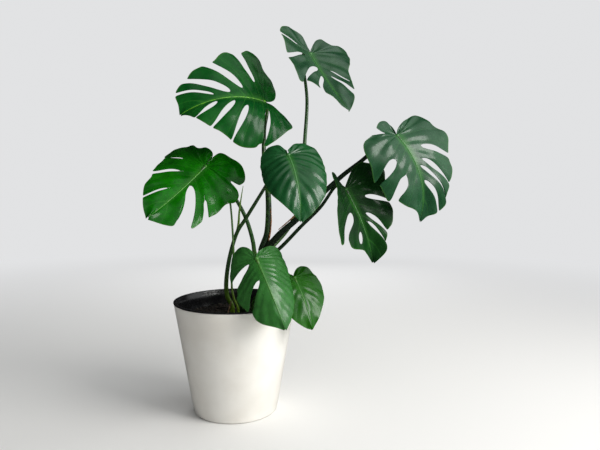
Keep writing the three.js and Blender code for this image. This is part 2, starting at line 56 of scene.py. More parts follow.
# The leaf drawings, places and bends below are the plant's own, in millimetres and degrees.
# A plant place is x and y from the pot's axis and z above the soil's edge.
plantShape = {
    "soilDrop": 35,        # rim down to the soil's edge
    "soilMound": 5,
    "basalReach": 0.1,     # veins to the margin behind this share of the length start at the stalk
    "basalStep": 0.01,
    "veinEvenStep": 0.45,
    "veinTipPower": 6,
    "veinBow": 0.45,
    "splitRootShare": 0.25,
    "curveSteps": 24,      # fine points between two drawn ones
}
soilRim = rimHeight - plantShape["soilDrop"] * mm


def inPlant(place):
    return Vector((place[0] * mm, place[1] * mm, soilRim + place[2] * mm))


# small helpers for meshes
def meshObject(name, shape, materials):
    mesh = bpy.data.meshes.new(name)
    shape.to_mesh(mesh)
    shape.free()
    for material in materials:
        mesh.materials.append(material)
    thing = bpy.data.objects.new(name, mesh)
    bpy.context.scene.collection.objects.link(thing)
    return thing


def smoothFaces(shape):
    for face in shape.faces:
        face.smooth = True


def titleOf(node):
    return "".join(word.title() for word in node.split("_"))


def finishPiece(node, shape, materials, soft=True, name=None):
    # the piece that stands for a CAD node, named after it
    title = titleOf(node)
    thing = meshObject(name or title[0].lower() + title[1:], shape, materials)
    if soft:
        modifier = thing.modifiers.new("softened", "SUBSURF")
        modifier.levels = 1
        modifier.render_levels = 1
    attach(thing, "root")
    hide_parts(node)


# small helpers for shader nodes; the owner is a material or the world
def newMaterial(name, color, roughness):
    material = bpy.data.materials.new(name)
    material.use_nodes = True
    shader = material.node_tree.nodes["Principled BSDF"]
    shader.inputs["Base Color"].default_value = (*color, 1)
    shader.inputs["Roughness"].default_value = roughness
    return material, shader


def addNode(owner, kind):
    return owner.node_tree.nodes.new(kind)


def wire(owner, source, target):
    owner.node_tree.links.new(source, target)


def feed(owner, value, socket):
    # a number or a colour goes on the socket itself, anything else is wired to it
    if isinstance(value, tuple):
        socket.default_value = (*value, 1)
    elif isinstance(value, (int, float)):
        socket.default_value = value
    else:
        wire(owner, value, socket)


def mathNode(owner, operation, first, second=0.0):
    node = addNode(owner, "ShaderNodeMath")
    node.operation = operation
    feed(owner, first, node.inputs[0])
    feed(owner, second, node.inputs[1])
    return node.outputs[0]


def rangeNode(owner, value, low, high, toLow=0.0, toHigh=1.0):
    node = addNode(owner, "ShaderNodeMapRange")
    node.interpolation_type = "SMOOTHSTEP"
    wire(owner, value, node.inputs["Value"])
    for name, setting in (("From Min", low), ("From Max", high), ("To Min", toLow), ("To Max", toHigh)):
        feed(owner, setting, node.inputs[name])
    return node.outputs["Result"]


def mixColors(owner, share, first, second):
    node = addNode(owner, "ShaderNodeMix")
    node.data_type = "RGBA"
    sockets = {socket.identifier: socket for socket in node.inputs}
    feed(owner, share, sockets["Factor_Float"])
    feed(owner, first, sockets["A_Color"])
    feed(owner, second, sockets["B_Color"])
    return next(socket for socket in node.outputs if socket.identifier == "Result_Color")


def objectNoise(owner, scale, detail=3.0, roughness=0.5):
    place = addNode(owner, "ShaderNodeTexCoord")
    grain = addNode(owner, "ShaderNodeTexNoise")
    grain.inputs["Scale"].default_value = scale
    grain.inputs["Detail"].default_value = detail
    grain.inputs["Roughness"].default_value = roughness
    wire(owner, place.outputs["Object"], grain.inputs["Vector"])
    return grain.outputs["Fac"]


def objectClouds(owner, clouds):
    # noise with its middle stretched from low to high, over the span of the result
    grain = objectNoise(owner, clouds["scale"], clouds["detail"], clouds.get("grain", 0.5))
    return rangeNode(owner, grain, clouds["low"], clouds["high"], *clouds.get("span", (0.0, 1.0)))


def bumpFrom(owner, shader, height, strength, distance):
    bump = addNode(owner, "ShaderNodeBump")
    bump.inputs["Strength"].default_value = strength
    bump.inputs["Distance"].default_value = distance
    wire(owner, height, bump.inputs["Height"])
    wire(owner, bump.outputs["Normal"], shader.inputs["Normal"])


def setCoat(shader, weight, roughness):
    shader.inputs["Coat Weight"].default_value = weight
    shader.inputs["Coat Roughness"].default_value = roughness


# camera, light and floor
studio = {
    "cameraPlace": (0.1514, -1.2907, 0.5248),
    "cameraDown": 4.13,          # degrees below level
    "lens": 33.66,
    "sensor": 36,
    "backdropColor": (0.76, 0.765, 0.775),
    "roomColor": (0.97, 0.99, 1),
    "brightSide": (0.8, -0.3, 0.5),
    "windowEdge": 0.5,           # cosines of the angles where the soft window begins and is full
    "windowFull": 0.85,
    "roomBright": 1.2,
    "roomDim": 0.2,
    "roomDimInGloss": 0.02,
    "lampsPointAt": (0.1, 0, 0.45),
    "windowLamp": {"place": (1.75, -0.95, 1.35), "size": 1.1, "power": 42, "color": (1, 0.99, 0.97)},
    "backLamp": {"place": (0.1, 2.2, 1.1), "size": 1.6, "power": 16, "color": (0.97, 0.98, 1)},
    "floorRadius": 6,
    "floorColor": (0.8, 0.79, 0.77),
    "floorRoughness": 0.7,
    "floorGrain": 40,
    "floorBump": 0.05,
    "floorBumpDepth": 0.002,
    "fadeFrom": 0.5,             # metres from the pot over which the floor melts into the backdrop
    "fadeTo": 3.2,
}


def areaLamp(name, lamp):
    data = bpy.data.lights.new(name, "AREA")
    data.shape = "SQUARE"
    data.size = lamp["size"]
    data.energy = lamp["power"]
    data.color = lamp["color"]
    thing = bpy.data.objects.new(name, data)
    bpy.context.scene.collection.objects.link(thing)
    thing.location = lamp["place"]
    aim = Vector(studio["lampsPointAt"]) - Vector(lamp["place"])
    thing.rotation_euler = aim.to_track_quat("-Z", "Y").to_euler()
    return thing


def roomLight():
    # a plain pale backdrop to look at, and a dim room with one broad soft window in it
    world = bpy.data.worlds.new("studioAir")
    world.use_nodes = True
    backdrop = world.node_tree.nodes["Background"]
    backdrop.inputs["Color"].default_value = (*studio["backdropColor"], 1)
    room = addNode(world, "ShaderNodeBackground")
    room.inputs["Color"].default_value = (*studio["roomColor"], 1)
    direction = addNode(world, "ShaderNodeTexCoord")
    towardWindow = addNode(world, "ShaderNodeVectorMath")
    towardWindow.operation = "DOT_PRODUCT"
    towardWindow.inputs[1].default_value = Vector(studio["brightSide"]).normalized()
    wire(world, direction.outputs["Generated"], towardWindow.inputs[0])
    opening = rangeNode(world, towardWindow.outputs["Value"], studio["windowEdge"], studio["windowFull"],
                        toHigh=studio["roomBright"])
    # the dim part of the room lights surfaces but hardly shows in their gloss
    seen = addNode(world, "ShaderNodeLightPath")
    dim = rangeNode(world, seen.outputs["Is Glossy Ray"], 0.0, 1.0,
                    studio["roomDim"], studio["roomDimInGloss"])
    wire(world, mathNode(world, "ADD", opening, dim), room.inputs["Strength"])
    chooser = addNode(world, "ShaderNodeMixShader")
    wire(world, seen.outputs["Is Camera Ray"], chooser.inputs["Fac"])
    wire(world, room.outputs["Background"], chooser.inputs[1])
    wire(world, backdrop.outputs["Background"], chooser.inputs[2])
    wire(world, chooser.outputs["Shader"], world.node_tree.nodes["World Output"].inputs["Surface"])
    return world


def paintedFloor():
    # far from the pot the floor melts into the backdrop, so no horizon shows
    material, shader = newMaterial("paleFloor", studio["floorColor"], studio["floorRoughness"])
    grain = objectNoise(material, studio["floorGrain"])
    bumpFrom(material, shader, grain, studio["floorBump"], studio["floorBumpDepth"])
    where = addNode(material, "ShaderNodeTexCoord")
    fromPot = addNode(material, "ShaderNodeVectorMath")
    fromPot.operation = "LENGTH"
    wire(material, where.outputs["Object"], fromPot.inputs[0])
    far = rangeNode(material, fromPot.outputs["Value"], studio["fadeFrom"], studio["fadeTo"])
    seen = addNode(material, "ShaderNodeLightPath")
    glow = addNode(material, "ShaderNodeEmission")
    glow.inputs["Color"].default_value = (*studio["backdropColor"], 1)
    chooser = addNode(material, "ShaderNodeMixShader")
    wire(material, mathNode(material, "MULTIPLY", far, seen.outputs["Is Camera Ray"]), chooser.inputs["Fac"])
    wire(material, shader.outputs["BSDF"], chooser.inputs[1])
    wire(material, glow.outputs["Emission"], chooser.inputs[2])
    wire(material, chooser.outputs["Shader"], material.node_tree.nodes["Material Output"].inputs["Surface"])
    return material


def setStage():
    scene = bpy.context.scene
    scene.view_settings.view_transform = "Standard"
    data = bpy.data.cameras.new("camera")
    data.lens = studio["lens"]
    data.sensor_width = studio["sensor"]
    camera = bpy.data.objects.new("camera", data)
    scene.collection.objects.link(camera)
    camera.location = studio["cameraPlace"]
    camera.rotation_euler = (math.radians(90 - studio["cameraDown"]), 0, 0)
    scene.camera = camera
    scene.world = roomLight()
    areaLamp("windowLight", studio["windowLamp"])
    areaLamp("backFill", studio["backLamp"]).visible_glossy = False
    floorShape = bmesh.new()
    bmesh.ops.create_circle(floorShape, cap_ends=True, radius=studio["floorRadius"], segments=64)
    floor = meshObject("studioFloor", floorShape, [paintedFloor()])
    floor.visible_glossy = False


# finishes that are clouds of one colour over another: scales per metre, bump depths in metres
finishes = {
    "potPlastic": {
        "base": (0.83, 0.81, 0.76), "over": (0.74, 0.71, 0.65), "roughness": 0.34,
        "clouds": {"scale": 9, "detail": 4, "low": 0.35, "high": 0.75},
        "scuffs": {"scale": 60, "detail": 5, "grain": 0.65, "low": 0.3, "high": 0.8, "span": (0.3, 0.42)},
        "coat": 0.15, "coatRoughness": 0.2,
        "relief": (420, 2), "bump": 0.06, "bumpDepth": 0.0004,
    },
    "linerPlastic": {
        "base": (0.009, 0.009, 0.01), "over": (0.016, 0.015, 0.013), "roughness": 0.2,
        "clouds": {"scale": 25, "detail": 6, "grain": 0.6, "low": 0.5, "high": 0.8},
        "scuffs": {"scale": 30, "detail": 5, "low": 0.3, "high": 0.8, "span": (0.14, 0.4)},
        "relief": (120, 3), "bump": 0.05, "bumpDepth": 0.0006,
    },
    "soilEarth": {
        "base": (0.008, 0.006, 0.005), "over": (0.045, 0.03, 0.02), "roughness": 0.95,
        "clouds": {"scale": 160, "detail": 6, "grain": 0.7, "low": 0.35, "high": 0.7},
        "spots": {"scale": 520, "detail": 2, "low": 0.66, "high": 0.72}, "spotColor": (0.12, 0.07, 0.035),
        "relief": (300, 5, 0.7), "bump": 0.8, "bumpDepth": 0.002,
    },
    "drySheath": {
        "base": (0.34, 0.12, 0.035), "over": (0.5, 0.3, 0.14), "roughness": 0.75,
        "clouds": {"scale": 120, "detail": 4, "low": 0.35, "high": 0.7},
        "spots": {"scale": 260, "detail": 5, "low": 0.58, "high": 0.7}, "spotColor": (0.07, 0.035, 0.02),
        "relief": (350, 4), "bump": 0.5, "bumpDepth": 0.0008,
    },
    "stickWood": {
        "base": (0.42, 0.27, 0.15), "over": (0.16, 0.085, 0.045), "roughness": 0.7,
        "clouds": {"scale": 200, "detail": 6, "grain": 0.7, "low": 0.35, "high": 0.75},
        "relief": (500, 3), "bump": 0.4, "bumpDepth": 0.0006,
    },
    "rootBark": {
        "base": (0.02, 0.012, 0.008), "over": (0.1, 0.05, 0.025), "roughness": 0.8,
        "clouds": {"scale": 320, "detail": 5, "low": 0.4, "high": 0.7},
        "relief": (420, 4), "bump": 0.7, "bumpDepth": 0.001,
    },
    "leafUnderside": {
        "roughness": 0.55,
        "clouds": {"scale": 120, "detail": 4, "low": 0.3, "high": 0.75},
        "relief": (260, 4), "bump": 0.3, "bumpDepth": 0.0006,
    },
    "midribSkin": {
        "roughness": 0.42,
        "clouds": {"scale": 140, "detail": 3, "low": 0.3, "high": 0.75},
        "relief": (300, 3), "bump": 0.2, "bumpDepth": 0.0005,
    },
}


def cloudedFinish(name, look):
    material, shader = newMaterial(name, look["base"], look["roughness"])
    skin = mixColors(material, objectClouds(material, look["clouds"]), look["base"], look["over"])
    if "spots" in look:
        skin = mixColors(material, objectClouds(material, look["spots"]), skin, look["spotColor"])
    wire(material, skin, shader.inputs["Base Color"])
    if "scuffs" in look:
        wire(material, objectClouds(material, look["scuffs"]), shader.inputs["Roughness"])
    if "coat" in look:
        setCoat(shader, look["coat"], look["coatRoughness"])
    bumpFrom(material, shader, objectNoise(material, *look["relief"]), look["bump"], look["bumpDepth"])
    return material


def finish(name):
    return cloudedFinish(name, finishes[name])


# pot, liner and soil, in millimetres
potShape = {
    "baseRadius": 97,
    "wall": 3.6,
    "floor": 5,
    "footRound": 5,
    "footStep": 4,          # the flat under the pot ends this far inside the foot's round edge
    "lip": 1.2,
    "wallRows": 12,
    "insideCorner": 1,
    "insideRise": 10,
    "insideFlare": 2,
    "turns": 96,
}
linerShape = {
    "wall": 2.2,
    "floor": 3,
    "rim": 3,
    "seatGap": 1.5,
    "fitGap": 0.3,
    "footRound": 2,
    "rimFlat": 1.2,
    "lip": 1.6,
    "lipWidth": 2.2,
    "underRim": 1,
    "rimSlack": 0.3,
    "lipSlack": 0.4,
    # the faint steps that run round the inside of the wall: depth below the rim, and how far each stands in
    "steps": ((6, 0), (7.5, 0.7), (20, 0.7), (21.5, 0)),
}


def potRadiusAt(height):
    base = potShape["baseRadius"] * mm
    return base + (potHigh.x - base) * height / potHigh.z


def linerInnerAt(height):
    return potRadiusAt(height) - (potShape["wall"] + linerShape["seatGap"] + linerShape["wall"]) * mm


def linerOuterAt(height):
    return linerInnerAt(height) + linerShape["wall"] * mm


def roundCorner(centre, radius, fromAngle, toAngle, steps):
    points = []
    for i in range(steps + 1):
        angle = math.radians(fromAngle + (toAngle - fromAngle) * i / steps)
        points.append((centre[0] + radius * math.cos(angle), centre[1] + radius * math.sin(angle)))
    return points


def turned(profile):
    shape = bmesh.new()
    ring = [shape.verts.new((x, 0, z)) for x, z in profile]
    edges = [shape.edges.new(pair) for pair in zip(ring, ring[1:])]
    bmesh.ops.spin(shape, geom=ring + edges, cent=(0, 0, 0), axis=(0, 0, 1), angle=math.tau,
                   steps=potShape["turns"], use_merge=True)
    bmesh.ops.remove_doubles(shape, verts=shape.verts, dist=1e-5)
    bmesh.ops.recalc_face_normals(shape, faces=shape.faces)
    smoothFaces(shape)
    return shape


def buildCoverPot():
    size = {name: value * mm for name, value in potShape.items()}
    base, footRound, lip, floor = size["baseRadius"], size["footRound"], size["lip"], size["floor"]
    top = potHigh.z
    profile = [(0, 0), (base / 2, 0), (base - footRound - size["footStep"], 0)]
    profile += roundCorner((base - footRound, footRound), footRound, -90, -4, 8)
    for i in range(1, potShape["wallRows"]):
        height = footRound + (top - footRound) * i / potShape["wallRows"]
        profile.append((potRadiusAt(height), height))
    profile += roundCorner((potRadiusAt(top) - lip, top - lip), lip, 10, 90, 5)
    profile += roundCorner((potRadiusAt(top) - size["wall"] + lip, top - lip), lip, 90, 176, 5)
    inner = potRadiusAt(floor) - size["wall"]
    corner = size["insideCorner"]
    profile.append((inner + size["insideFlare"], floor + size["insideRise"]))
    profile += [(inner, floor + corner), (inner - corner, floor), (0, floor)]
    finishPiece("cover_pot", turned(profile), [finish("potPlastic")], soft=False)


def buildLiner():
    size = {name: value * mm for name, value in linerShape.items() if name != "steps"}
    base = linerLow.z
    top = linerHigh.z
    rim, lip, footRound = size["rim"], size["lip"], size["footRound"]
    low = top - rim
    floor = base + size["floor"]
    profile = [(0, base), (linerOuterAt(base) - footRound, base), (linerOuterAt(base), base + footRound)]
    profile += [(linerOuterAt(low) - size["rimSlack"], low - size["underRim"]), (linerOuterAt(low), low)]
    profile.append((rimRadius - size["rimFlat"], low))
    profile += roundCorner((rimRadius - rim / 2, low + rim / 2), rim / 2, -75, 80, 8)
    profile += roundCorner((linerInnerAt(top) + size["lipWidth"], top - lip), lip, 95, 175, 6)
    for depth, step in linerShape["steps"]:
        height = top - depth * mm
        profile.append((linerInnerAt(height) + size["lipSlack"] - step * mm, height))
    profile += [(linerInnerAt(soilRim), soilRim), (linerInnerAt(floor), floor + footRound)]
    profile += [(linerInnerAt(floor) - footRound, floor), (0, floor)]
    finishPiece("inner_pot", turned(profile), [finish("linerPlastic")], soft=False)


soilLook = {
    "segments": 96,
    "rings": 46,
    "ringsShort": 3,    # the innermost rings that are left out
    "edgeGap": 0.4,
    "lump": 3.2,        # height of the broad lumps, millimetres
    "lumpScale": 22,
    "crumb": 1.4,
    "crumbScale": 110,
    "sink": 1.5,
    "clods": {"count": 420, "sizes": (0.8, 3.2), "flatness": 0.75, "reach": 0.97},
    "chips": {"count": 60, "sizes": (3, 5.5), "flatness": 0.35, "reach": 0.94},
    "crumbStretch": 1.3,
    "crumbUneven": 0.25,
    "crumbTilt": 0.5,
    "crumbProud": 0.3,
    "seed": 4,
}


def soilHeightAt(x, y):
    edge = linerInnerAt(soilRim)
    radius = math.hypot(x, y)
    mound = plantShape["soilMound"] * mm * (1 - min(1, radius / edge) ** 2)
    broad = noise.noise(Vector((x * soilLook["lumpScale"], y * soilLook["lumpScale"], 0.5)))
    fine = noise.noise(Vector((x * soilLook["crumbScale"], y * soilLook["crumbScale"], 2.5)))
    lumps = broad * soilLook["lump"] * mm + fine * soilLook["crumb"] * mm
    return soilRim + mound + lumps - soilLook["sink"] * mm


def scatterCrumb(shape, rng, reach, size, flatness):
    angle = rng.uniform(0, math.tau)
    radius = reach * math.sqrt(rng.random())
    x, y = radius * math.cos(angle), radius * math.sin(angle)
    crumb = bmesh.ops.create_icosphere(shape, subdivisions=1, radius=size)["verts"]
    spin = Matrix.Rotation(rng.uniform(0, math.tau), 4, "Z")
    tilt = Matrix.Rotation(rng.uniform(-soilLook["crumbTilt"], soilLook["crumbTilt"]), 4, "X")
    for v in crumb:
        v.co *= 1 + rng.uniform(-soilLook["crumbUneven"], soilLook["crumbUneven"])
        v.co.z *= flatness
        v.co.x *= soilLook["crumbStretch"]
    bmesh.ops.transform(shape, matrix=spin @ tilt, verts=crumb)
    height = soilHeightAt(x, y) + size * flatness * soilLook["crumbProud"]
    bmesh.ops.translate(shape, vec=(x, y, height), verts=crumb)


def buildSoil():
    rng = random.Random(soilLook["seed"])
    shape = bmesh.new()
    edge = linerInnerAt(soilRim) - soilLook["edgeGap"] * mm
    bmesh.ops.create_circle(shape, cap_ends=True, radius=edge, segments=soilLook["segments"])
    ringWidth = edge / (soilLook["rings"] + soilLook["ringsShort"])
    for _ in range(soilLook["rings"]):
        inner = [f for f in shape.faces if len(f.verts) == soilLook["segments"]]
        bmesh.ops.inset_region(shape, faces=inner, thickness=ringWidth, use_even_offset=True)
    for v in shape.verts:
        v.co.z = soilHeightAt(v.co.x, v.co.y)
    bottom = linerLow.z + (linerShape["floor"] + linerShape["fitGap"]) * mm
    rimEdges = [e for e in shape.edges if e.is_boundary]
    wall = bmesh.ops.extrude_edge_only(shape, edges=rimEdges)["geom"]
    shrink = (linerInnerAt(bottom) - soilLook["edgeGap"] * mm) / edge
    for v in wall:
        if isinstance(v, bmesh.types.BMVert):
            v.co = Vector((v.co.x * shrink, v.co.y * shrink, bottom))
    bmesh.ops.contextual_create(shape, geom=[e for e in shape.edges if e.is_boundary])
    bmesh.ops.recalc_face_normals(shape, faces=shape.faces)
    for kind in ("clods", "chips"):
        crumbs = soilLook[kind]
        for _ in range(crumbs["count"]):
            size = rng.uniform(*crumbs["sizes"]) * mm
            scatterCrumb(shape, rng, edge * crumbs["reach"], size, crumbs["flatness"])
    smoothFaces(shape)
    finishPiece("soil", shape, [finish("soilEarth")], soft=False, name="soilBed")


# smooth curves
def curveThrough(points):
    # a centripetal curve through the points, as fine points and their distances from the start
    ends = [points[0] * 2 - points[1]] + list(points) + [points[-1] * 2 - points[-2]]
    steps = plantShape["curveSteps"]
    fine = []
    for a, b, c, d in zip(ends, ends[1:], ends[2:], ends[3:]):
        t1 = (b - a).length ** 0.5
        t2 = t1 + (c - b).length ** 0.5
        t3 = t2 + (d - c).length ** 0.5
        for i in range(steps):
            t = t1 + (t2 - t1) * i / steps
            p = a + (b - a) * (t / t1)
            q = b + (c - b) * ((t - t1) / (t2 - t1))
            r = c + (d - c) * ((t - t2) / (t3 - t2))
            first = p + (q - p) * (t / t2)
            second = q + (r - q) * ((t - t1) / (t3 - t1))
            fine.append(first + (second - first) * ((t - t1) / (t2 - t1)))
    fine.append(points[-1].copy())
    lengths = [0.0]
    for a, b in zip(fine, fine[1:]):
        lengths.append(lengths[-1] + (b - a).length)
    return fine, lengths


def alongCurve(curve, share):
    fine, lengths = curve
    goal = lengths[-1] * min(1, max(0, share))
    here = min(max(bisect.bisect_right(lengths, goal) - 1, 0), len(fine) - 2)
    span = max(lengths[here + 1] - lengths[here], 1e-9)
    return fine[here].lerp(fine[here + 1], (goal - lengths[here]) / span)


def smoothstep(value, low, high):
    t = min(1, max(0, (value - low) / (high - low)))
    return t * t * (3 - 2 * t)


# round stems
def framesAlong(route):
    # a side and an upright for each point, carried along without twisting
    frames = []
    side = Vector((0, -1, 0))
    for i, point in enumerate(route):
        ahead = (route[min(i + 1, len(route) - 1)] - route[max(i - 1, 0)]).normalized()
        side = (side - ahead * side.dot(ahead)).normalized()
        frames.append((point, side, ahead.cross(side)))
    return frames


def rodAlong(sides, steps):
    # a rod of radius 1 from z = -0.5 to 0.5, cut into steps
    shape = bmesh.new()
    bmesh.ops.create_cone(shape, cap_ends=True, segments=sides, radius1=1, radius2=1, depth=1)
    longEdges = [e for e in shape.edges if abs(e.verts[0].co.z - e.verts[1].co.z) > 0.5]
    bmesh.ops.subdivide_edges(shape, edges=longEdges, cuts=steps - 1, use_grid_fill=True)
    return shape


def joinInto(shape, part):
    # adds one bmesh to another
    carrier = bpy.data.meshes.new("carrier")
    part.to_mesh(carrier)
    part.free()
    shape.from_mesh(carrier)
    bpy.data.meshes.remove(carrier)


def stemShape(points, radiusAt, steps, sides):
    # radiusAt(share, turn) gives the radius in metres at a share of the length and a turn round it
    curve = curveThrough(points)
    frames = framesAlong([alongCurve(curve, i / steps) for i in range(steps + 1)])
    shape = rodAlong(sides, steps)
    uv = shape.loops.layers.uv.new("along")
    for face in shape.faces:
        for loop in face.loops:
            p = loop.vert.co
            loop[uv].uv = (math.atan2(p.y, p.x) / math.tau + 0.5, p.z + 0.5)
    for v in shape.verts:
        share = v.co.z + 0.5
        point, side, upright = frames[round(share * steps)]
        radius = radiusAt(share, math.atan2(v.co.y, v.co.x))
        v.co = point + side * (v.co.x * radius) + upright * (v.co.y * radius)
    bmesh.ops.recalc_face_normals(shape, faces=shape.faces)
    smoothFaces(shape)
    return shape


# leaves
def slit(at, start, belly, mouth):
    # a gap between two lobes: its place on the margin, where along the side veins it begins, and half widths
    return {"at": at, "from": start, "belly": belly, "mouth": mouth}


def hole(at, start, end, belly):
    # a gap that closes again before the margin
    return {"at": at, "from": start, "to": end, "belly": belly}


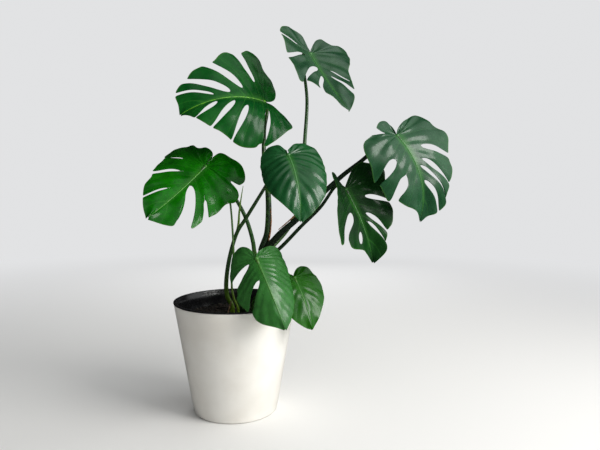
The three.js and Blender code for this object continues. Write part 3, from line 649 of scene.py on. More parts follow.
leafDrawings = {
    "leaf_upper_left": {
        "seat": (70, 0, 490), "aim": (-0.74, -0.64, 0.2), "face": (0.52, -0.35, 0.78), "length": 206,
        "bends": {"arch": 59, "back": 13, "foldLeft": 6, "foldRight": 25, "droopLeft": 58, "droopRight": 7,
                  "twist": 9},
        "right": [(0, -5), (14, -32), (42, -42), (70, -38), (100, -22), (130, -14), (148, -5), (150, 10),
                  (134, 30), (125, 46), (121, 72), (97, 97), (91, 121), (82, 141), (67, 158), (60, 171),
                  (45, 191), (22, 196), (0, 206)],
        "left": [(0, -5), (-20, -20), (-66, -58), (-80, -42), (-104, -18), (-126, 8), (-122, 34),
                 (-130, 45), (-130, 70), (-124, 97), (-110, 118), (-100, 125), (-82, 140), (-67, 156),
                 (-50, 168), (-34, 178), (-14, 190), (0, 206)],
        "rightSplits": [slit(0.5, 0.37, 0.016, 0.02), slit(0.68, 0.24, 0.03, 0.021),
                        slit(0.82, 0.16, 0.03, 0.016), slit(0.893, 0.2, 0.007, 0.005)],
        "leftSplits": [slit(0.44, 0.27, 0.038, 0.01), slit(0.68, 0.27, 0.025, 0.004),
                       slit(0.81, 0.16, 0.022, 0.004), slit(0.905, 0.15, 0.016, 0.004)],
    },
    "leaf_top": {
        "seat": (176, 60, 610), "aim": (0.36, -0.53, -0.77), "face": (0.5, -0.58, 0.64), "length": 206,
        "bends": {"arch": -9, "back": 12, "foldLeft": 21, "foldRight": 19, "droopLeft": 29,
                  "droopRight": 17, "twist": -4},
        "right": [(0, -5), (2, -25), (4, -42), (18, -56), (46, -58), (76, -50), (94, -25), (96, 0),
                  (100, 28), (104, 52), (100, 75), (104, 110), (102, 137), (84, 135), (77, 140), (61, 160),
                  (42, 176), (0, 206)],
        "left": [(0, -5), (-22, -34), (-34, -46), (-50, -50), (-60, -40), (-72, -32), (-100, -40),
                 (-124, -40), (-129, -25), (-112, 12), (-84, 52), (-59, 118), (-42, 160), (-22, 186),
                 (0, 206)],
        "rightSplits": [slit(0.35, 0.45, 0.01, 0.007), slit(0.52, 0.29, 0.014, 0.01),
                        slit(0.735, 0.08, 0.034, 0.008), slit(0.84, 0.17, 0.017, 0.014)],
        "leftSplits": [hole(0.735, 0.35, 0.93, 0.008), slit(0.815, 0.28, 0.009, 0.006)],
    },
    "leaf_right": {
        "seat": (363, -60, 408), "aim": (0.65, -0.25, -0.72), "face": (0.46, -0.62, 0.63), "length": 213,
        "bends": {"arch": 68, "back": 9, "foldLeft": 20, "foldRight": 6, "droopLeft": 21, "droopRight": 43,
                  "twist": -20},
        "right": [(0, -4), (-3, -22), (4, -38), (22, -44), (42, -38), (56, -30), (93, -24), (104, -10),
                  (110, 28), (117, 73), (106, 90), (103, 106), (90, 140), (76, 134), (70, 142), (52, 158),
                  (27, 174), (0, 213)],
        "left": [(0, -4), (-18, -14), (-48, -20), (-86, -20), (-108, -8), (-117, 26), (-130, 45),
                 (-122, 64), (-100, 84), (-100, 100), (-96, 115), (-76, 139), (-60, 162), (-64, 174),
                 (-46, 190), (-15, 199), (0, 213)],
        "rightSplits": [slit(0.21, 0.57, 0.006, 0.014), slit(0.555, 0.47, 0.038, 0.015),
                        slit(0.735, 0.46, 0.046, 0.021)],
        "leftSplits": [slit(0.565, 0.32, 0.026, 0.009), slit(0.71, 0.22, 0.022, 0.004),
                       slit(0.79, 0.1, 0.02, 0.004), slit(0.875, 0.11, 0.015, 0.004)],
    },
    "leaf_lower_right": {
        "seat": (252, -60, 291), "aim": (0.49, -0.22, -0.85), "face": (0.41, -0.8, 0.44), "length": 177,
        "bends": {"arch": 33, "back": 8, "foldLeft": 21, "foldRight": 26, "droopLeft": 17, "droopRight": -2,
                  "twist": -10},
        "right": [(0, -5), (2, -24), (8, -40), (19, -46), (28, -37), (32, -16), (46, 4), (66, 22), (90, 50),
                  (112, 97), (90, 97), (74, 98), (71, 114), (26, 137), (0, 177)],
        "left": [(0, -5), (-14, -17), (-40, -36), (-64, -41), (-90, -28), (-109, -3), (-95, 22), (-84, 58),
                 (-82, 80), (-70, 106), (-53, 117), (-48, 126), (-40, 138), (-34, 156), (0, 177)],
        "rightSplits": [slit(0.66, 0.28, 0.062, 0.036), hole(0.84, 0.42, 0.82, 0.018)],
        "leftSplits": [slit(0.58, 0.36, 0.023, 0.006), slit(0.775, 0.26, 0.022, 0.005),
                       slit(0.845, 0.24, 0.016, 0.005)],
    },
    "leaf_left": {
        "seat": (-59, -40, 342), "aim": (-0.52, -0.55, -0.65), "face": (0.02, -0.77, 0.64), "length": 191,
        "bends": {"arch": -14, "back": 14, "foldLeft": 7, "foldRight": 11, "droopLeft": 36,
                  "droopRight": 33, "twist": 17},
        "right": [(0, -8), (3, -26), (10, -42), (33, -47), (50, -36), (66, -40), (98, -22), (112, 2),
                  (108, 18), (99, 24), (94, 50), (87, 75), (76, 92), (63, 129), (48, 150), (24, 176),
                  (0, 191)],
        "left": [(0, -8), (0, -30), (-8, -46), (-36, -46), (-70, -42), (-94, -20), (-90, 2), (-104, 14),
                 (-106, 32), (-94, 50), (-93, 75), (-86, 98), (-82, 115), (-76, 142), (-57, 134),
                 (-44, 146), (-47, 166), (-12, 184), (0, 191)],
        "rightSplits": [slit(0.475, 0.52, 0.009, 0.005), slit(0.635, 0.4, 0.01, 0.005),
                        slit(0.85, 0.39, 0.008, 0.005)],
        "leftSplits": [slit(0.372, 0.78, 0.007, 0.012), slit(0.645, 0.62, 0.013, 0.017),
                       slit(0.782, 0.1, 0.046, 0.044)],
    },
    "leaf_heart": {
        "seat": (127, -110, 364), "aim": (0.31, -0.73, -0.61), "face": (0.22, -0.57, 0.8), "length": 159,
        "bends": {"arch": 56, "back": 8, "foldLeft": 9, "foldRight": -1, "droopLeft": 39, "droopRight": 66,
                  "twist": 5},
        "right": [(0, -8), (10, -28), (30, -33), (52, -20), (66, 10), (68, 50), (60, 88), (42, 112),
                  (16, 141), (0, 159)],
        "left": [(0, -8), (-10, -20), (-28, -31), (-50, -32), (-74, -22), (-81, 8), (-72, 58), (-63, 92),
                 (-41, 125), (-16, 148), (0, 159)],
        "rightSplits": [],
        "leftSplits": [],
    },
    "leaf_front": {
        "seat": (61, -135, 149), "aim": (0.39, -0.57, -0.72), "face": (-0.05, -0.8, 0.6), "length": 164,
        "bends": {"arch": 38, "back": 11, "foldLeft": -12, "foldRight": -4, "droopLeft": 63,
                  "droopRight": 66, "twist": 15},
        "right": [(0, -6), (4, -24), (18, -39), (38, -40), (60, -18), (82, -2), (84, 8), (74, 22), (72, 44),
                  (80, 64), (62, 100), (56, 106), (47, 128), (14, 152), (0, 164)],
        "left": [(0, -6), (-12, -16), (-32, -24), (-58, -26), (-78, -18), (-88, 2), (-88, 34), (-80, 68),
                 (-66, 100), (-44, 128), (-20, 150), (0, 164)],
        "rightSplits": [slit(0.46, 0.25, 0.036, 0.04), slit(0.73, 0.18, 0.028, 0.013)],
        "leftSplits": [],
    },
    "leaf_front_small": {
        "seat": (139, -48, 94), "aim": (0.4, -0.62, -0.68), "face": (0.17, -0.68, 0.72), "length": 126,
        "bends": {"arch": 35, "back": 12, "foldLeft": 9, "foldRight": 11, "droopLeft": 39, "droopRight": 36,
                  "twist": -1},
        "right": [(0, -8), (10, -24), (28, -28), (46, -16), (54, 8), (55, 40), (48, 72), (34, 98),
                  (16, 116), (0, 126)],
        "left": [(0, -8), (-8, -18), (-20, -27), (-36, -29), (-50, -19), (-58, 2), (-65, 32), (-58, 58),
                 (-38, 88), (-20, 107), (0, 126)],
        "rightSplits": [],
        "leftSplits": [],
    },
}
leafLooks = {
    "leaf_upper_left": {
        "green": (0.001, 0.052, 0.007), "light": (0.006, 0.09, 0.01), "midrib": (0.13, 0.42, 0.012),
        "veinCount": 9, "quilt": 1.2, "roughness": 0.24, "gloss": 0.12, "veinShow": 0.5,
    },
    "leaf_top": {
        "green": (0.008, 0.045, 0.018), "light": (0.018, 0.065, 0.026), "midrib": (0.03, 0.11, 0.03),
        "veinCount": 9, "quilt": 1.1, "roughness": 0.27, "gloss": 0.4, "veinShow": 0.3,
    },
    "leaf_right": {
        "green": (0.007, 0.045, 0.016), "light": (0.014, 0.066, 0.025), "midrib": (0.035, 0.13, 0.03),
        "veinCount": 9, "quilt": 1.6, "roughness": 0.3, "gloss": 0.22, "veinShow": 0.3, "bump": 0.12,
    },
    # leaf_lower_right's greens and midrib are darkened as painted shade, for the shade that leaf_right casts
    # over it
    "leaf_lower_right": {
        "green": (0.003, 0.02, 0.004), "light": (0.006, 0.042, 0.006), "midrib": (0.015, 0.07, 0.012),
        "veinCount": 8, "quilt": 0.9, "roughness": 0.3, "gloss": 0.07, "veinShow": 0.3,
    },
    "leaf_left": {
        "green": (0.001, 0.062, 0.0006), "light": (0.007, 0.165, 0.0015), "midrib": (0.045, 0.24, 0.005),
        "veinCount": 8, "quilt": 1.7, "roughness": 0.16, "gloss": 0.13, "veinShow": 0.4,
    },
    "leaf_heart": {
        "green": (0.006, 0.05, 0.014), "light": (0.01, 0.075, 0.02), "midrib": (0.04, 0.14, 0.04),
        "veinCount": 11, "quilt": 1.8, "roughness": 0.2, "gloss": 0.27, "veinShow": 0.25,
    },
    "leaf_front": {
        "green": (0.018, 0.11, 0.016), "light": (0.035, 0.15, 0.03), "midrib": (0.06, 0.2, 0.03),
        "veinCount": 14, "quilt": 1.0, "roughness": 0.28, "gloss": 0.26, "veinShow": 0.3,
    },
    "leaf_front_small": {
        "green": (0.007, 0.075, 0.001), "light": (0.016, 0.11, 0.004), "midrib": (0.04, 0.17, 0.01),
        "veinCount": 8, "quilt": 1.1, "roughness": 0.26, "gloss": 0.2, "veinShow": 0.25,
    },
}
# the same on every leaf, in millimetres unless it is a share
blade = {
    "thickness": 0.8,
    "columnStep": 4.6,
    "rows": 24,
    "rowBesideEnd": 0.012,   # extra rows this far past a split's root and on both sides of a hole's ends
    "rowAfterRoot": 0.03,    # and one more this far past a split's root
    "rowsAtMargin": (0.985, 0.972),
    "rowGap": 0.006,       # rows closer than this are left out
    "tipGap": 0.004,       # the outermost veins stay this share of the margin from stalk and tip
    "lobeCup": 2.2,        # a lobe's sides bend down this far
    "wholeCup": 0.4,       # and on a leaf half without splits only this share of it
    "cupFrom": 0.8,
    "lobeSag": 5,          # a lobe hangs at most this far out of the leaf's surface
    "wave": 4.5,
    "waveScale": 0.026,
    "waveRise": 0.5,       # share of a side vein over which the waves grow from the midrib
    "quiltRise": 0.3,
    "ripple": 1.6,
    "rippleScale": 26,
    "rippleAlong": 2,
    "seedRange": 50,       # each half takes its waves from its own layer of the noise
    "cornerShare": 0.07,   # share of a side vein over which a lobe's corners round off
    "cornerCut": 2.4,
    "mergeWithin": 2e-6,   # metres
}
midrib = {
    "sides": 12,
    "steps": 44,
    "half": 2.1,
    "halfTaper": 0.8,
    "least": 0.25,
    "rise": 0.35,
    "depth": 2.2,
    "depthTaper": 0.7,
    "behind": 3,           # starts this far behind the seat
    "end": 0.985,
    "knuckle": 5,
    "knuckleBehind": 1.5,
}


def leafFrame(leaf):
    forward = Vector(leaf["aim"]).normalized()
    up = Vector(leaf["face"])
    up = (up - forward * up.dot(forward)).normalized()
    return forward.cross(up), forward, up


def arc(s, k):
    # along and out of the starting line, after length s with turn k per length
    if abs(k) < 1e-7:
        return s, 0
    return math.sin(k * s) / k, (1 - math.cos(k * s)) / k


def leanAt(leaf, y):
    bends = leaf["bends"]
    turn = bends["arch"] if y >= 0 else -bends["back"]
    return math.radians(turn) / leaf["length"]


def onLeaf(leaf, x, y, z):
    # the bent blade: a point x, y of the flat drawing and z above it, placed in the plant
    across, forward, up = leafFrame(leaf)
    bends = leaf["bends"]
    turn = leanAt(leaf, y)
    alongY, sinkY = arc(y, turn)
    side = 1 if x >= -1e-6 else -1
    half = "Right" if side > 0 else "Left"
    fold = math.radians(bends["fold" + half] + side * bends["twist"] * y / leaf["length"])
    droop = math.radians(bends["droop" + half]) * 2 / leaf["length"]
    run, sink = arc(abs(x), droop)
    tilt = fold - droop * abs(x)
    out = side * (run * math.cos(fold) + sink * math.sin(fold) - z * math.sin(tilt))
    rise = run * math.sin(fold) - sink * math.cos(fold) + z * math.cos(tilt)
    lean = turn * y
    place = Vector(leaf["seat"]) + across * out
    place += forward * (alongY + rise * math.sin(lean)) + up * (-sinkY + rise * math.cos(lean))
    return inPlant(place)


def onMidrib(leaf, x, y, z):
    across, forward, up = leafFrame(leaf)
    lean = leanAt(leaf, y) * y
    outward = up * math.cos(lean) + forward * math.sin(lean)
    return onLeaf(leaf, 0, y, 0) + (across * x + outward * z) * mm


def veinField(margin, length, side):
    # a half blade as side veins: gives the point at a share of the vein that ends at a place on the margin
    curve = curveThrough([Vector((x, y, 0)) for x, y in margin])
    basalEnd = 0
    while alongCurve(curve, basalEnd).y < plantShape["basalReach"] * length:
        basalEnd += plantShape["basalStep"]
    even = plantShape["veinEvenStep"]

    def veinPoint(at, share):
        end = alongCurve(curve, at)
        step = max(0, (at - basalEnd) / (1 - basalEnd))
        start = Vector((0, length * (even * step + (1 - even) * step ** plantShape["veinTipPower"]), 0))
        chord = end - start
        bend = chord.normalized() + Vector((plantShape["veinBow"] * side, 0, 0))
        turn = start + bend.normalized() * chord.length / 2
        return start * (1 - share) ** 2 + turn * 2 * share * (1 - share) + end * share ** 2

    return veinPoint, curve[1][-1]


def splitHalfWidth(gap, share, marginLength):
    # a round root, a belly and a mouth with rounded corners, or a closed hole
    if "from" not in gap:
        return 0
    last = gap.get("to", 1)
    t = (share - gap["from"]) / (last - gap["from"])
    if t <= 0 or t > 1:
        return 0
    if "to" in gap:
        return gap["belly"] * math.sqrt(max(0, 1 - (2 * t - 1) ** 2))
    rootShare = plantShape["splitRootShare"]
    if t < rootShare:
        width = gap["belly"] * math.sqrt(max(0, 1 - (1 - t / rootShare) ** 2))
    else:
        width = gap["belly"] + (gap["mouth"] - gap["belly"]) * smoothstep(t, rootShare, 1)
    corner = max(0, (share - 1 + blade["cornerShare"]) / blade["cornerShare"])
    return width + blade["cornerCut"] / marginLength * (1 - math.sqrt(1 - corner ** 2))


def rowShares(splits):
    # even rows along the side veins, with extra ones where splits begin and end
    shares = [i / blade["rows"] for i in range(blade["rows"] + 1)]
    for gap in splits:
        for place in (gap["from"], gap.get("to", gap["from"])):
            beside = -blade["rowBesideEnd"] if "to" in gap else blade["rowAfterRoot"]
            shares += [place, place + blade["rowBesideEnd"], place + beside]
    shares += blade["rowsAtMargin"]
    kept = []
    for share in sorted(s for s in shares if 0 <= s <= 1):
        if not kept or share - kept[-1] > blade["rowGap"]:
            kept.append(share)
    kept[-1] = 1
    return kept


def liftAt(flat, at, share, lobe, look, seed):
    # how far the blade stands out of its bent surface: quilting, cupped and sagging lobes, waves and ripples
    low, high, sag, cupShare = lobe
    across = (at - low["at"]) / (high["at"] - low["at"])
    freeFrom = max(low.get("from", 0), high.get("from", 0))
    phase = (at * look["veinCount"]) % 1
    quilt = look["quilt"] * math.sin(math.pi * (phase + 0.5)) ** 2 * smoothstep(share, 0, blade["quiltRise"])
    cup = blade["lobeCup"] * (2 * across - 1) ** 2 * smoothstep(share, freeFrom * blade["cupFrom"], 1)
    waveScale = blade["waveScale"]
    wave = noise.noise(Vector((flat.x * waveScale, flat.y * waveScale, seed))) * blade["wave"]
    rippleAt = Vector((at * blade["rippleScale"], share * blade["rippleAlong"], seed))
    ripple = noise.noise(rippleAt) * blade["ripple"] * share ** 3
    lift = quilt - cup * cupShare + wave * smoothstep(share, 0, blade["waveRise"])
    return lift + ripple + sag * smoothstep(share, freeFrom, 1)


def addHalfBlade(shape, leaf, look, side, rng):
    margin = leaf["right"] if side > 0 else leaf["left"]
    splits = leaf["rightSplits"] if side > 0 else leaf["leftSplits"]
    veinPoint, marginLength = veinField(margin, leaf["length"], side)
    shares = rowShares(splits)
    bounds = [{"at": blade["tipGap"]}] + splits + [{"at": 1 - blade["tipGap"]}]
    uv = shape.loops.layers.uv.get("veins") or shape.loops.layers.uv.new("veins")
    flatLayer = shape.verts.layers.float_vector.get("flat") or shape.verts.layers.float_vector.new("flat")
    seed = rng.uniform(0, blade["seedRange"])
    # a hole doesn't part two lobes, so a lobe's own bends run across it
    lobeEnds = [b for b in bounds if "to" not in b]
    cupShare = 1 if splits else blade["wholeCup"]
    lobes = []
    for low, high in zip(lobeEnds, lobeEnds[1:]):
        lobes.append((low, high, rng.uniform(-1, 1) * blade["lobeSag"], cupShare))
    for low, high in zip(bounds, bounds[1:]):
        columns = max(3, round((high["at"] - low["at"]) * marginLength / blade["columnStep"]))
        rows = len(shares) - 1
        verts = bmesh.ops.create_grid(shape, x_segments=columns, y_segments=rows, size=0.5)["verts"]
        lobe = next(b for b in lobes if b[0]["at"] <= low["at"] and b[1]["at"] >= high["at"])
        places = {}
        for v in verts:
            share = shares[round((v.co.y + 0.5) * rows)]
            lowAt = low["at"] + splitHalfWidth(low, share, marginLength)
            highAt = high["at"] - splitHalfWidth(high, share, marginLength)
            at = lowAt + (highAt - lowAt) * (v.co.x + 0.5)
            flat = veinPoint(at, share)
            lift = liftAt(flat, at, share, lobe, look, seed)
            places[v] = (at, share)
            v[flatLayer] = (flat.x, flat.y, lift)
            v.co = onLeaf(leaf, flat.x, flat.y, lift)
        for face in {f for v in verts for f in v.link_faces}:
            for loop in face.loops:
                loop[uv].uv = places[loop.vert]
            if side > 0:
                face.normal_flip()


def addMidrib(shape, leaf, material):
    # the rib under and over the blade's middle, and the knuckle where the stalk comes in
    rib = rodAlong(midrib["sides"], midrib["steps"])
    valley = math.tan(math.radians((leaf["bends"]["foldLeft"] + leaf["bends"]["foldRight"]) / 2))
    ribLength = leaf["length"] * midrib["end"] + midrib["behind"]
    for v in rib.verts:
        share = v.co.z + 0.5
        half = midrib["half"] * (1 - share) ** midrib["halfTaper"] + midrib["least"]
        over = half * max(0, valley) + midrib["rise"] + blade["thickness"] / 2
        under = midrib["depth"] * (1 - share) ** midrib["depthTaper"] + blade["thickness"]
        height = v.co.y * (over if v.co.y > 0 else under)
        v.co = onMidrib(leaf, v.co.x * half, ribLength * share - midrib["behind"], height)
    knuckle = bmesh.ops.create_icosphere(rib, subdivisions=3, radius=midrib["knuckle"] * mm)["verts"]
    bmesh.ops.translate(rib, vec=onMidrib(leaf, 0, 0, -midrib["knuckleBehind"]), verts=knuckle)
    bmesh.ops.recalc_face_normals(rib, faces=rib.faces)
    for face in rib.faces:
        face.material_index = material
    joinInto(shape, rib)


def addUnderside(shape, leaf, material):
    flatLayer = shape.verts.layers.float_vector["flat"]
    made = bmesh.ops.extrude_face_region(shape, geom=list(shape.faces), use_keep_orig=True)["geom"]
    for element in made:
        if isinstance(element, bmesh.types.BMVert):
            x, y, lift = element[flatLayer]
            element.co = onLeaf(leaf, x, y, lift - blade["thickness"])
        elif isinstance(element, bmesh.types.BMFace):
            element.material_index = material
    bmesh.ops.recalc_face_normals(shape, faces=shape.faces)


def leafTop(name, look):
    material, shader = newMaterial(name, look["green"], look["roughness"])
    place = addNode(material, "ShaderNodeUVMap")
    place.uv_map = "veins"
    split = addNode(material, "ShaderNodeSeparateXYZ")
    wire(material, place.outputs["UV"], split.inputs["Vector"])
    phase, share = split.outputs["X"], split.outputs["Y"]
    # side veins: a thin line at the middle of each step of phase, as wide in millimetres all along
    step = mathNode(material, "FRACT", mathNode(material, "MULTIPLY", phase, float(look["veinCount"])))
    offLine = mathNode(material, "ABSOLUTE", mathNode(material, "SUBTRACT", step, 0.5))
    fan = mathNode(material, "ADD", share, look["veinFan"])
    lineWidth = mathNode(material, "DIVIDE", look["veinWidth"], fan)
    veinLine = rangeNode(material, offLine, lineWidth, 0.0)
    # the skin: broad clouds of light and dark, then mottling, the midrib's halo, the veins and the margin
    mottle = objectClouds(material, look["mottle"])
    skin = mixColors(material, objectClouds(material, look["clouds"]), look["green"], look["light"])
    layers = (
        (mottle, "mottleShow", "dark"),
        (rangeNode(material, share, look["haloEnd"], 0.0), "haloShow", "vein"),
        (veinLine, "veinShow", "vein"),
        (rangeNode(material, share, look["edgeFrom"], 1.0), "edgeShow", "edge"),
    )
    for where, show, color in layers:
        skin = mixColors(material, mathNode(material, "MULTIPLY", where, look[show]), skin, look[color])
    wire(material, skin, shader.inputs["Base Color"])
    spread = [look["roughness"] + change for change in look["roughnessChange"]]
    wire(material, rangeNode(material, mottle, 0.0, 1.0, *spread), shader.inputs["Roughness"])
    # fine netting between the side veins
    netting = addNode(material, "ShaderNodeTexVoronoi")
    netting.feature = "DISTANCE_TO_EDGE"
    netting.inputs["Scale"].default_value = look["nettingScale"]
    where = addNode(material, "ShaderNodeTexCoord")
    wire(material, where.outputs["Object"], netting.inputs["Vector"])
    cells = rangeNode(material, netting.outputs["Distance"], 0.0, look["nettingEdge"])
    relief = mathNode(material, "SUBTRACT", mathNode(material, "MULTIPLY", cells, look["nettingRelief"]),
                      mathNode(material, "MULTIPLY", veinLine, look["veinRelief"]))
    bumpFrom(material, shader, relief, look["bump"], look["bumpDepth"])
    shader.inputs["Specular IOR Level"].default_value = look["gloss"]
    setCoat(shader, look["coat"], look["coatRoughness"])
    return material


plainLeaf = {
    "dark": (0.002, 0.025, 0.005),
    "vein": (0.03, 0.15, 0.018),
    "edge": (0.05, 0.16, 0.015),
    "under": (0.05, 0.15, 0.04),
    "clouds": {"scale": 14, "detail": 3, "low": 0.3, "high": 0.7},
    "mottle": {"scale": 160, "detail": 4, "low": 0.35, "high": 0.75},
    "mottleShow": 0.35,
    "roughnessChange": (-0.03, 0.05),
    "haloShow": 0.55,
    "haloEnd": 0.16,
    "edgeShow": 0.5,
    "edgeFrom": 0.965,
    "veinWidth": 0.018,
    "veinFan": 0.12,
    "nettingScale": 260,
    "nettingEdge": 0.12,
    "nettingRelief": 0.25,
    "veinRelief": 0.8,
    "bump": 0.25,
    "bumpDepth": 0.0004,
    "coat": 0.06,
    "coatRoughness": 0.15,
}


def buildLeaf(node, number):
    leaf = leafDrawings[node]
    look = dict(plainLeaf, **leafLooks[node])
    rng = random.Random(number)
    shape = bmesh.new()
    for side in (1, -1):
        addHalfBlade(shape, leaf, look, side, rng)
    bmesh.ops.remove_doubles(shape, verts=shape.verts, dist=blade["mergeWithin"])
    addUnderside(shape, leaf, 1)
    addMidrib(shape, leaf, 2)
    smoothFaces(shape)
    title = titleOf(node)
    under = dict(finishes["leafUnderside"], base=look["under"], over=look["vein"])
    rib = dict(finishes["midribSkin"], base=look["midrib"], over=look["vein"])
    skins = [leafTop(title + "Skin", look)]
    skins += [cloudedFinish(title + "Under", under), cloudedFinish(title + "Rib", rib)]
    finishPiece(node, shape, skins)


# stalks
stalkDrawings = {
    "stalk_upper_left": {
        "route": [(70, -2, 169), (76, -3, 190), (79, -3, 224), (78, -2, 284), (72, -1, 336), (69, 0, 372),
                  (70, 6, 430)],
        "leaf": "leaf_upper_left", "radii": (8, 3.2), "clasps": True,
    },
    "stalk_top": {
        "route": [(66, -2, 146), (90, 18, 162), (118, 30, 192), (150, 42, 244), (161, 52, 314),
                  (162, 58, 390), (168, 62, 502)],
        "leaf": "leaf_top", "radii": (6, 3), "clasps": True,
    },
    "stalk_right": {
        "route": [(64, -2, 142), (86, -12, 168), (108, -15, 192), (143, -18, 222), (192, -14, 271),
                  (248, -10, 322), (302, -16, 365)],
        "leaf": "leaf_right", "radii": (7.6, 3.4), "clasps": True,
    },
    "stalk_lower_right": {
        "route": [(58, 0, 126), (78, -16, 138), (102, -20, 154), (155, -32, 209), (197, -48, 252)],
        "leaf": "leaf_lower_right", "radii": (4.4, 3.2), "clasps": True,
    },
    "stalk_left": {
        "route": [(54, 0, 118), (47, -14, 148), (45, -20, 168), (39, -28, 197), (30, -34, 226),
                  (11, -36, 264), (-23, -30, 307)],
        "leaf": "leaf_left", "radii": (5, 3), "clasps": True,
    },
    "stalk_heart": {
        "route": [(-6, -22, -26), (-4, -22, 24), (-14, -26, 46), (-16, -32, 75), (-7, -42, 136),
                  (12, -52, 196), (32, -60, 227), (76, -78, 296)],
        "leaf": "leaf_heart", "radii": (5.4, 2.8),
    },
    "stalk_front": {
        "route": [(8, -12, -26), (9, -11, 29), (13, -20, 61), (25, -40, 90), (40, -76, 117)],
        "leaf": "leaf_front", "radii": (4, 2.6),
    },
    "stalk_front_small": {
        "route": [(36, 8, -26), (44, 0, 34), (66, -8, 58), (95, -20, 82)],
        "leaf": "leaf_front_small", "radii": (3.4, 2.4),
    },
}
stalkLooks = {
    "stalk_upper_left": {"green": (0.008, 0.024, 0.009), "light": (0.045, 0.14, 0.018), "neckFrom": 0.6,
                         "foot": (0.012, 0.03, 0.012)},
    "stalk_top": {"green": (0.02, 0.075, 0.016), "light": (0.045, 0.13, 0.03)},
    "stalk_right": {"green": (0.006, 0.016, 0.009), "light": (0.016, 0.04, 0.018),
                    "foot": (0.01, 0.02, 0.009)},
    "stalk_lower_right": {"green": (0.008, 0.028, 0.009), "light": (0.02, 0.055, 0.016),
                          "foot": (0.012, 0.035, 0.01)},
    "stalk_left": {"green": (0.02, 0.09, 0.016), "light": (0.05, 0.14, 0.03)},
    "stalk_heart": {"green": (0.012, 0.05, 0.01), "light": (0.035, 0.1, 0.02), "foot": (0.16, 0.3, 0.01),
                    "footEnd": 0.32},
    "stalk_front": {"green": (0.03, 0.1, 0.016), "light": (0.07, 0.18, 0.03)},
    "stalk_front_small": {"green": (0.03, 0.1, 0.016), "light": (0.07, 0.18, 0.03)},
}
plainStalk = {
    "foot": (0.06, 0.16, 0.02),
    "footEnd": 0.25,
    "neckFrom": 0.85,
    "mottle": {"scale": 90, "detail": 4, "low": 0.3, "high": 0.75},
    "roughness": 0.38,
    "streaks": (26, 3, 1),   # round, along
    "streakScale": 1.6,
    "bump": 0.25,
    "bumpDepth": 0.0008,
    "coat": 0.2,
    "coatRoughness": 0.25,
}
stalkForm = {
    "arrivalTilt": 1.1,      # how far back a stalk leans as it meets its leaf
    "arrivalReach": (28, 7),
    "insideLeaf": ((5, -1.6), (22, -1.2)),   # along the midrib and below it, where the stalk ends as the rib
    "flare": 0.35,           # a clasping foot is this much wider
    "flareEnd": 0.1,
    "neckSwell": 0.32,
    "swellFrom": (0.86, 0.92),
    "swellTo": (0.94, 0.985),
    "endThin": 0.5,
    "ridge": 0.06,
    "ridges": 2,
    "ridgeTurns": 6,         # the ridges of each stalk start at a turn of up to this many radians
    "fineRidge": 0.02,
    "fineRidges": 7,
    "fineDrift": 3,
    "steps": 72,
    "sides": 16,
    "topStalkRoot": (64, -2, 146),   # the highest stalk starts this far down inside the main stem
}


def stalkSkin(name, look):
    look = dict(plainStalk, **look)
    material, shader = newMaterial(name, look["green"], look["roughness"])
    place = addNode(material, "ShaderNodeUVMap")
    place.uv_map = "along"
    split = addNode(material, "ShaderNodeSeparateXYZ")
    wire(material, place.outputs["UV"], split.inputs["Vector"])
    along = split.outputs["Y"]
    skin = mixColors(material, objectClouds(material, look["mottle"]), look["green"], look["light"])
    skin = mixColors(material, rangeNode(material, along, look["footEnd"], 0.0), skin, look["foot"])
    skin = mixColors(material, rangeNode(material, along, look["neckFrom"], 1.0), skin, look["light"])
    wire(material, skin, shader.inputs["Base Color"])
    stretch = addNode(material, "ShaderNodeMapping")
    stretch.inputs["Scale"].default_value = look["streaks"]
    wire(material, place.outputs["UV"], stretch.inputs["Vector"])
    streak = addNode(material, "ShaderNodeTexNoise")
    streak.inputs["Scale"].default_value = look["streakScale"]
    wire(material, stretch.outputs["Vector"], streak.inputs["Vector"])
    bumpFrom(material, shader, streak.outputs["Fac"], look["bump"], look["bumpDepth"])
    setCoat(shader, look["coat"], look["coatRoughness"])
    return material


def buildStalk(node):
    drawing = stalkDrawings[node]
    form = stalkForm
    leaf = leafDrawings[drawing["leaf"]]
    forward, up = leafFrame(leaf)[1:]
    arrival = (-up - forward * form["arrivalTilt"]).normalized()
    seat = Vector(leaf["seat"])
    points = [inPlant(place) for place in drawing["route"]]
    if node == "stalk_upper_left":
        points.insert(0, inPlant(form["topStalkRoot"]))
    points += [inPlant(seat + arrival * reach) for reach in form["arrivalReach"]]
    points += [onMidrib(leaf, 0, along, below) for along, below in form["insideLeaf"]]
    startRadius, endRadius = (radius * mm for radius in drawing["radii"])
    ridgeTurn = random.Random(len(node)).uniform(0, form["ridgeTurns"])

    def radiusAt(share, turn):
        radius = startRadius + (endRadius - startRadius) * share
        if drawing.get("clasps"):
            radius *= 1 + form["flare"] * smoothstep(share, form["flareEnd"], 0)
        swell = smoothstep(share, *form["swellFrom"]) * smoothstep(share, *reversed(form["swellTo"]))
        radius *= 1 + form["neckSwell"] * swell
        radius *= 1 - form["endThin"] * smoothstep(share, form["swellTo"][0], 1)
        broad = form["ridge"] * math.cos(form["ridges"] * turn + ridgeTurn)
        fine = form["fineRidge"] * math.cos(form["fineRidges"] * turn + form["fineDrift"] * share)
        return radius * (1 + broad + fine)

    shape = stemShape(points, radiusAt, form["steps"], form["sides"])
    finishPiece(node, shape, [stalkSkin(titleOf(node) + "Skin", stalkLooks[node])])


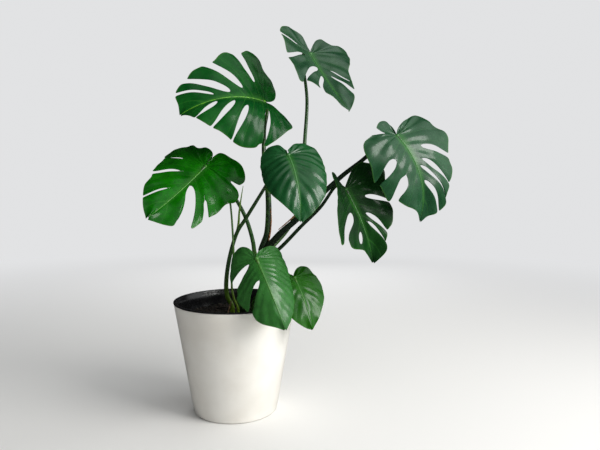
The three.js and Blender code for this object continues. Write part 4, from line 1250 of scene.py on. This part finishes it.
mainStem = {
    "route": ((14, 8, -26), (20, 5, 20), (34, 2, 68), (52, 0, 112), (66, -2, 150), (70, -2, 168)),
    "radius": 11,
    "taper": 1,
    "rings": (0.2, 0.38, 0.55, 0.7, 0.84),   # where old leaf scars ring the stem
    "ringSwell": 0.1,
    "ringWidth": 0.018,
    "ridge": 0.05,
    "ridges": 3,
    "topThin": 0.35,
    "topFrom": 0.9,
    "steps": 90,
    "sides": 24,
    "look": {"green": (0.012, 0.035, 0.014), "light": (0.03, 0.075, 0.025), "foot": (0.03, 0.05, 0.02),
             "footEnd": 0.5, "neckFrom": 0.95},
}


def buildMainStem():
    stem = mainStem

    def radiusAt(share, turn):
        radius = (stem["radius"] - stem["taper"] * share) * mm
        for place in stem["rings"]:
            radius *= 1 + stem["ringSwell"] * math.exp(-((share - place) / stem["ringWidth"]) ** 2)
        topThin = stem["topThin"] * smoothstep(share, stem["topFrom"], 1)
        return radius * (1 + stem["ridge"] * math.cos(stem["ridges"] * turn) - topThin)

    shape = stemShape([inPlant(place) for place in stem["route"]], radiusAt, stem["steps"], stem["sides"])
    finishPiece("main_stem", shape, [stalkSkin("MainStemSkin", stem["look"])])


# small growths and loose things: routes and radii in millimetres
youngLook = {"green": (0.06, 0.15, 0.03), "light": (0.1, 0.22, 0.045), "foot": (0.24, 0.4, 0.02),
             "footEnd": 0.5, "neckFrom": 0.8}
freshLook = {"green": (0.13, 0.28, 0.03), "light": (0.22, 0.38, 0.06), "foot": (0.14, 0.2, 0.04),
             "footEnd": 0.4, "neckFrom": 0.7}
drySheaths = {
    "dry_sheath_upper": {
        "route": [(79, -8, 172), (83, -9, 190), (86, -9, 224), (84, -8, 250)],
        "radii": (3, 1), "ruffle": 0.22,
    },
    "dry_sheath_right": {
        "route": [(102, -15, 199), (120, -16, 214), (137, -17, 229), (147, -19, 241)],
        "radii": (1.4, 3.2), "ruffle": 0.26,
    },
}
sheathForm = {
    "steps": 60,
    "thin": 0.35,            # the flattened thickness, as a share of the width
    "thinPower": 0.8,
    "longRuffle": 17,
    "fineRuffle": 41,
    "fineShare": 0.6,
    "tipThin": 0.8,
    "tipFrom": 0.9,
}
smallStems = {
    "new_leaf_spike": {
        "route": [(8, -50, 186), (13, -45, 204), (15, -44, 218), (17, -46, 244), (22, -48, 278),
                  (26, -50, 299)],
        "radii": (3.2, 0.6), "taper": 1.4, "ripple": 0.1, "ridges": 1, "drift": 5, "steps": 48,
        "slot": "young_shoot",
    },
    "thin_stalk": {
        "route": [(13, -35, -26), (11, -35, 20), (2, -39, 46), (-2, -42, 72), (-1, -46, 95), (4, -55, 144),
                  (4, -60, 179), (-1, -58, 254), (-7, -49, 286), (-12, -38, 310)],
        "radii": (2.8, 2.2), "ripple": 0.05, "ridges": 2, "steps": 64, "slot": "young_shoot",
    },
    "rolled_young_leaf": {
        "route": [(-12, -38, 309), (-16, -30, 328), (-21, -20, 348)],
        "radii": (2.2, 0.6), "bulge": 2.2, "bulgeRun": 1.1, "ripple": 0.1, "ridges": 1, "drift": 9,
        "steps": 30, "slot": "young_shoot",
    },
    "wood_stick": {
        "route": [(-22, -25, -20), (-12, -30, 13), (-4, -34, 39)],
        "radii": (1.7, 1.7), "ripple": 0.05, "ridges": 3, "drift": 8, "steps": 20, "slot": "stick_wood",
    },
    "aerial_root": {
        "route": [(70, -3, 155), (80, -14, 158), (88, -22, 158), (95, -28, 153)],
        "radii": (3.2, 1.8), "ripple": 0.12, "drift": 30, "start": -math.pi / 2, "steps": 40,
        "slot": "root_bark",
    },
}
smallSides = 12


def sheathRadius(sheath):
    # a torn dry sheath: flattened, curled and wavy
    form = sheathForm
    first, last = sheath["radii"]

    def radiusAt(share, turn):
        width = (first + (last - first) * share) * mm
        flat = form["thin"] + (1 - form["thin"]) * abs(math.cos(turn)) ** form["thinPower"]
        fine = form["fineShare"] * math.sin(share * form["fineRuffle"] + turn)
        wavy = 1 + sheath["ruffle"] * (math.sin(share * form["longRuffle"] + 2 * turn) + fine)
        return width * flat * wavy * (1 - form["tipThin"] * smoothstep(share, form["tipFrom"], 1))

    return radiusAt


def smallStemRadius(stem):
    # thinner from foot to tip, with ripples that run round and along
    first, last = stem["radii"]

    def radiusAt(share, turn):
        radius = first + (last - first) * share ** stem.get("taper", 1)
        radius += stem.get("bulge", 0) * math.sin(math.pi * min(1, share * stem.get("bulgeRun", 1)))
        wave = stem.get("ridges", 0) * turn + stem.get("drift", 0) * share + stem.get("start", 0)
        return radius * mm * (1 + stem["ripple"] * math.cos(wave))

    return radiusAt


def buildSmallPieces():
    dry = finish("drySheath")
    for node, sheath in drySheaths.items():
        route = [inPlant(place) for place in sheath["route"]]
        shape = stemShape(route, sheathRadius(sheath), sheathForm["steps"], smallSides)
        finishPiece(node, shape, [dry])
    skins = {
        "new_leaf_spike": stalkSkin("SpikeSkin", freshLook),
        "thin_stalk": stalkSkin("ThinStalkSkin", youngLook),
        "rolled_young_leaf": stalkSkin("RolledLeafSkin", freshLook),
        "wood_stick": finish("stickWood"),
        "aerial_root": finish("rootBark"),
    }
    for node, stem in smallStems.items():
        route = [inPlant(place) for place in stem["route"]]
        shape = stemShape(route, smallStemRadius(stem), stem["steps"], smallSides)
        finishPiece(node, shape, [skins[node]])


# the whole object
setStage()
buildCoverPot()
buildLiner()
buildSoil()
print("pot and soil built")
buildMainStem()
for stalkName in stalkDrawings:
    buildStalk(stalkName)
buildSmallPieces()
print("stems built")
for leafNumber, leafName in enumerate(leafDrawings):
    buildLeaf(leafName, leafNumber)
print("leaves built")
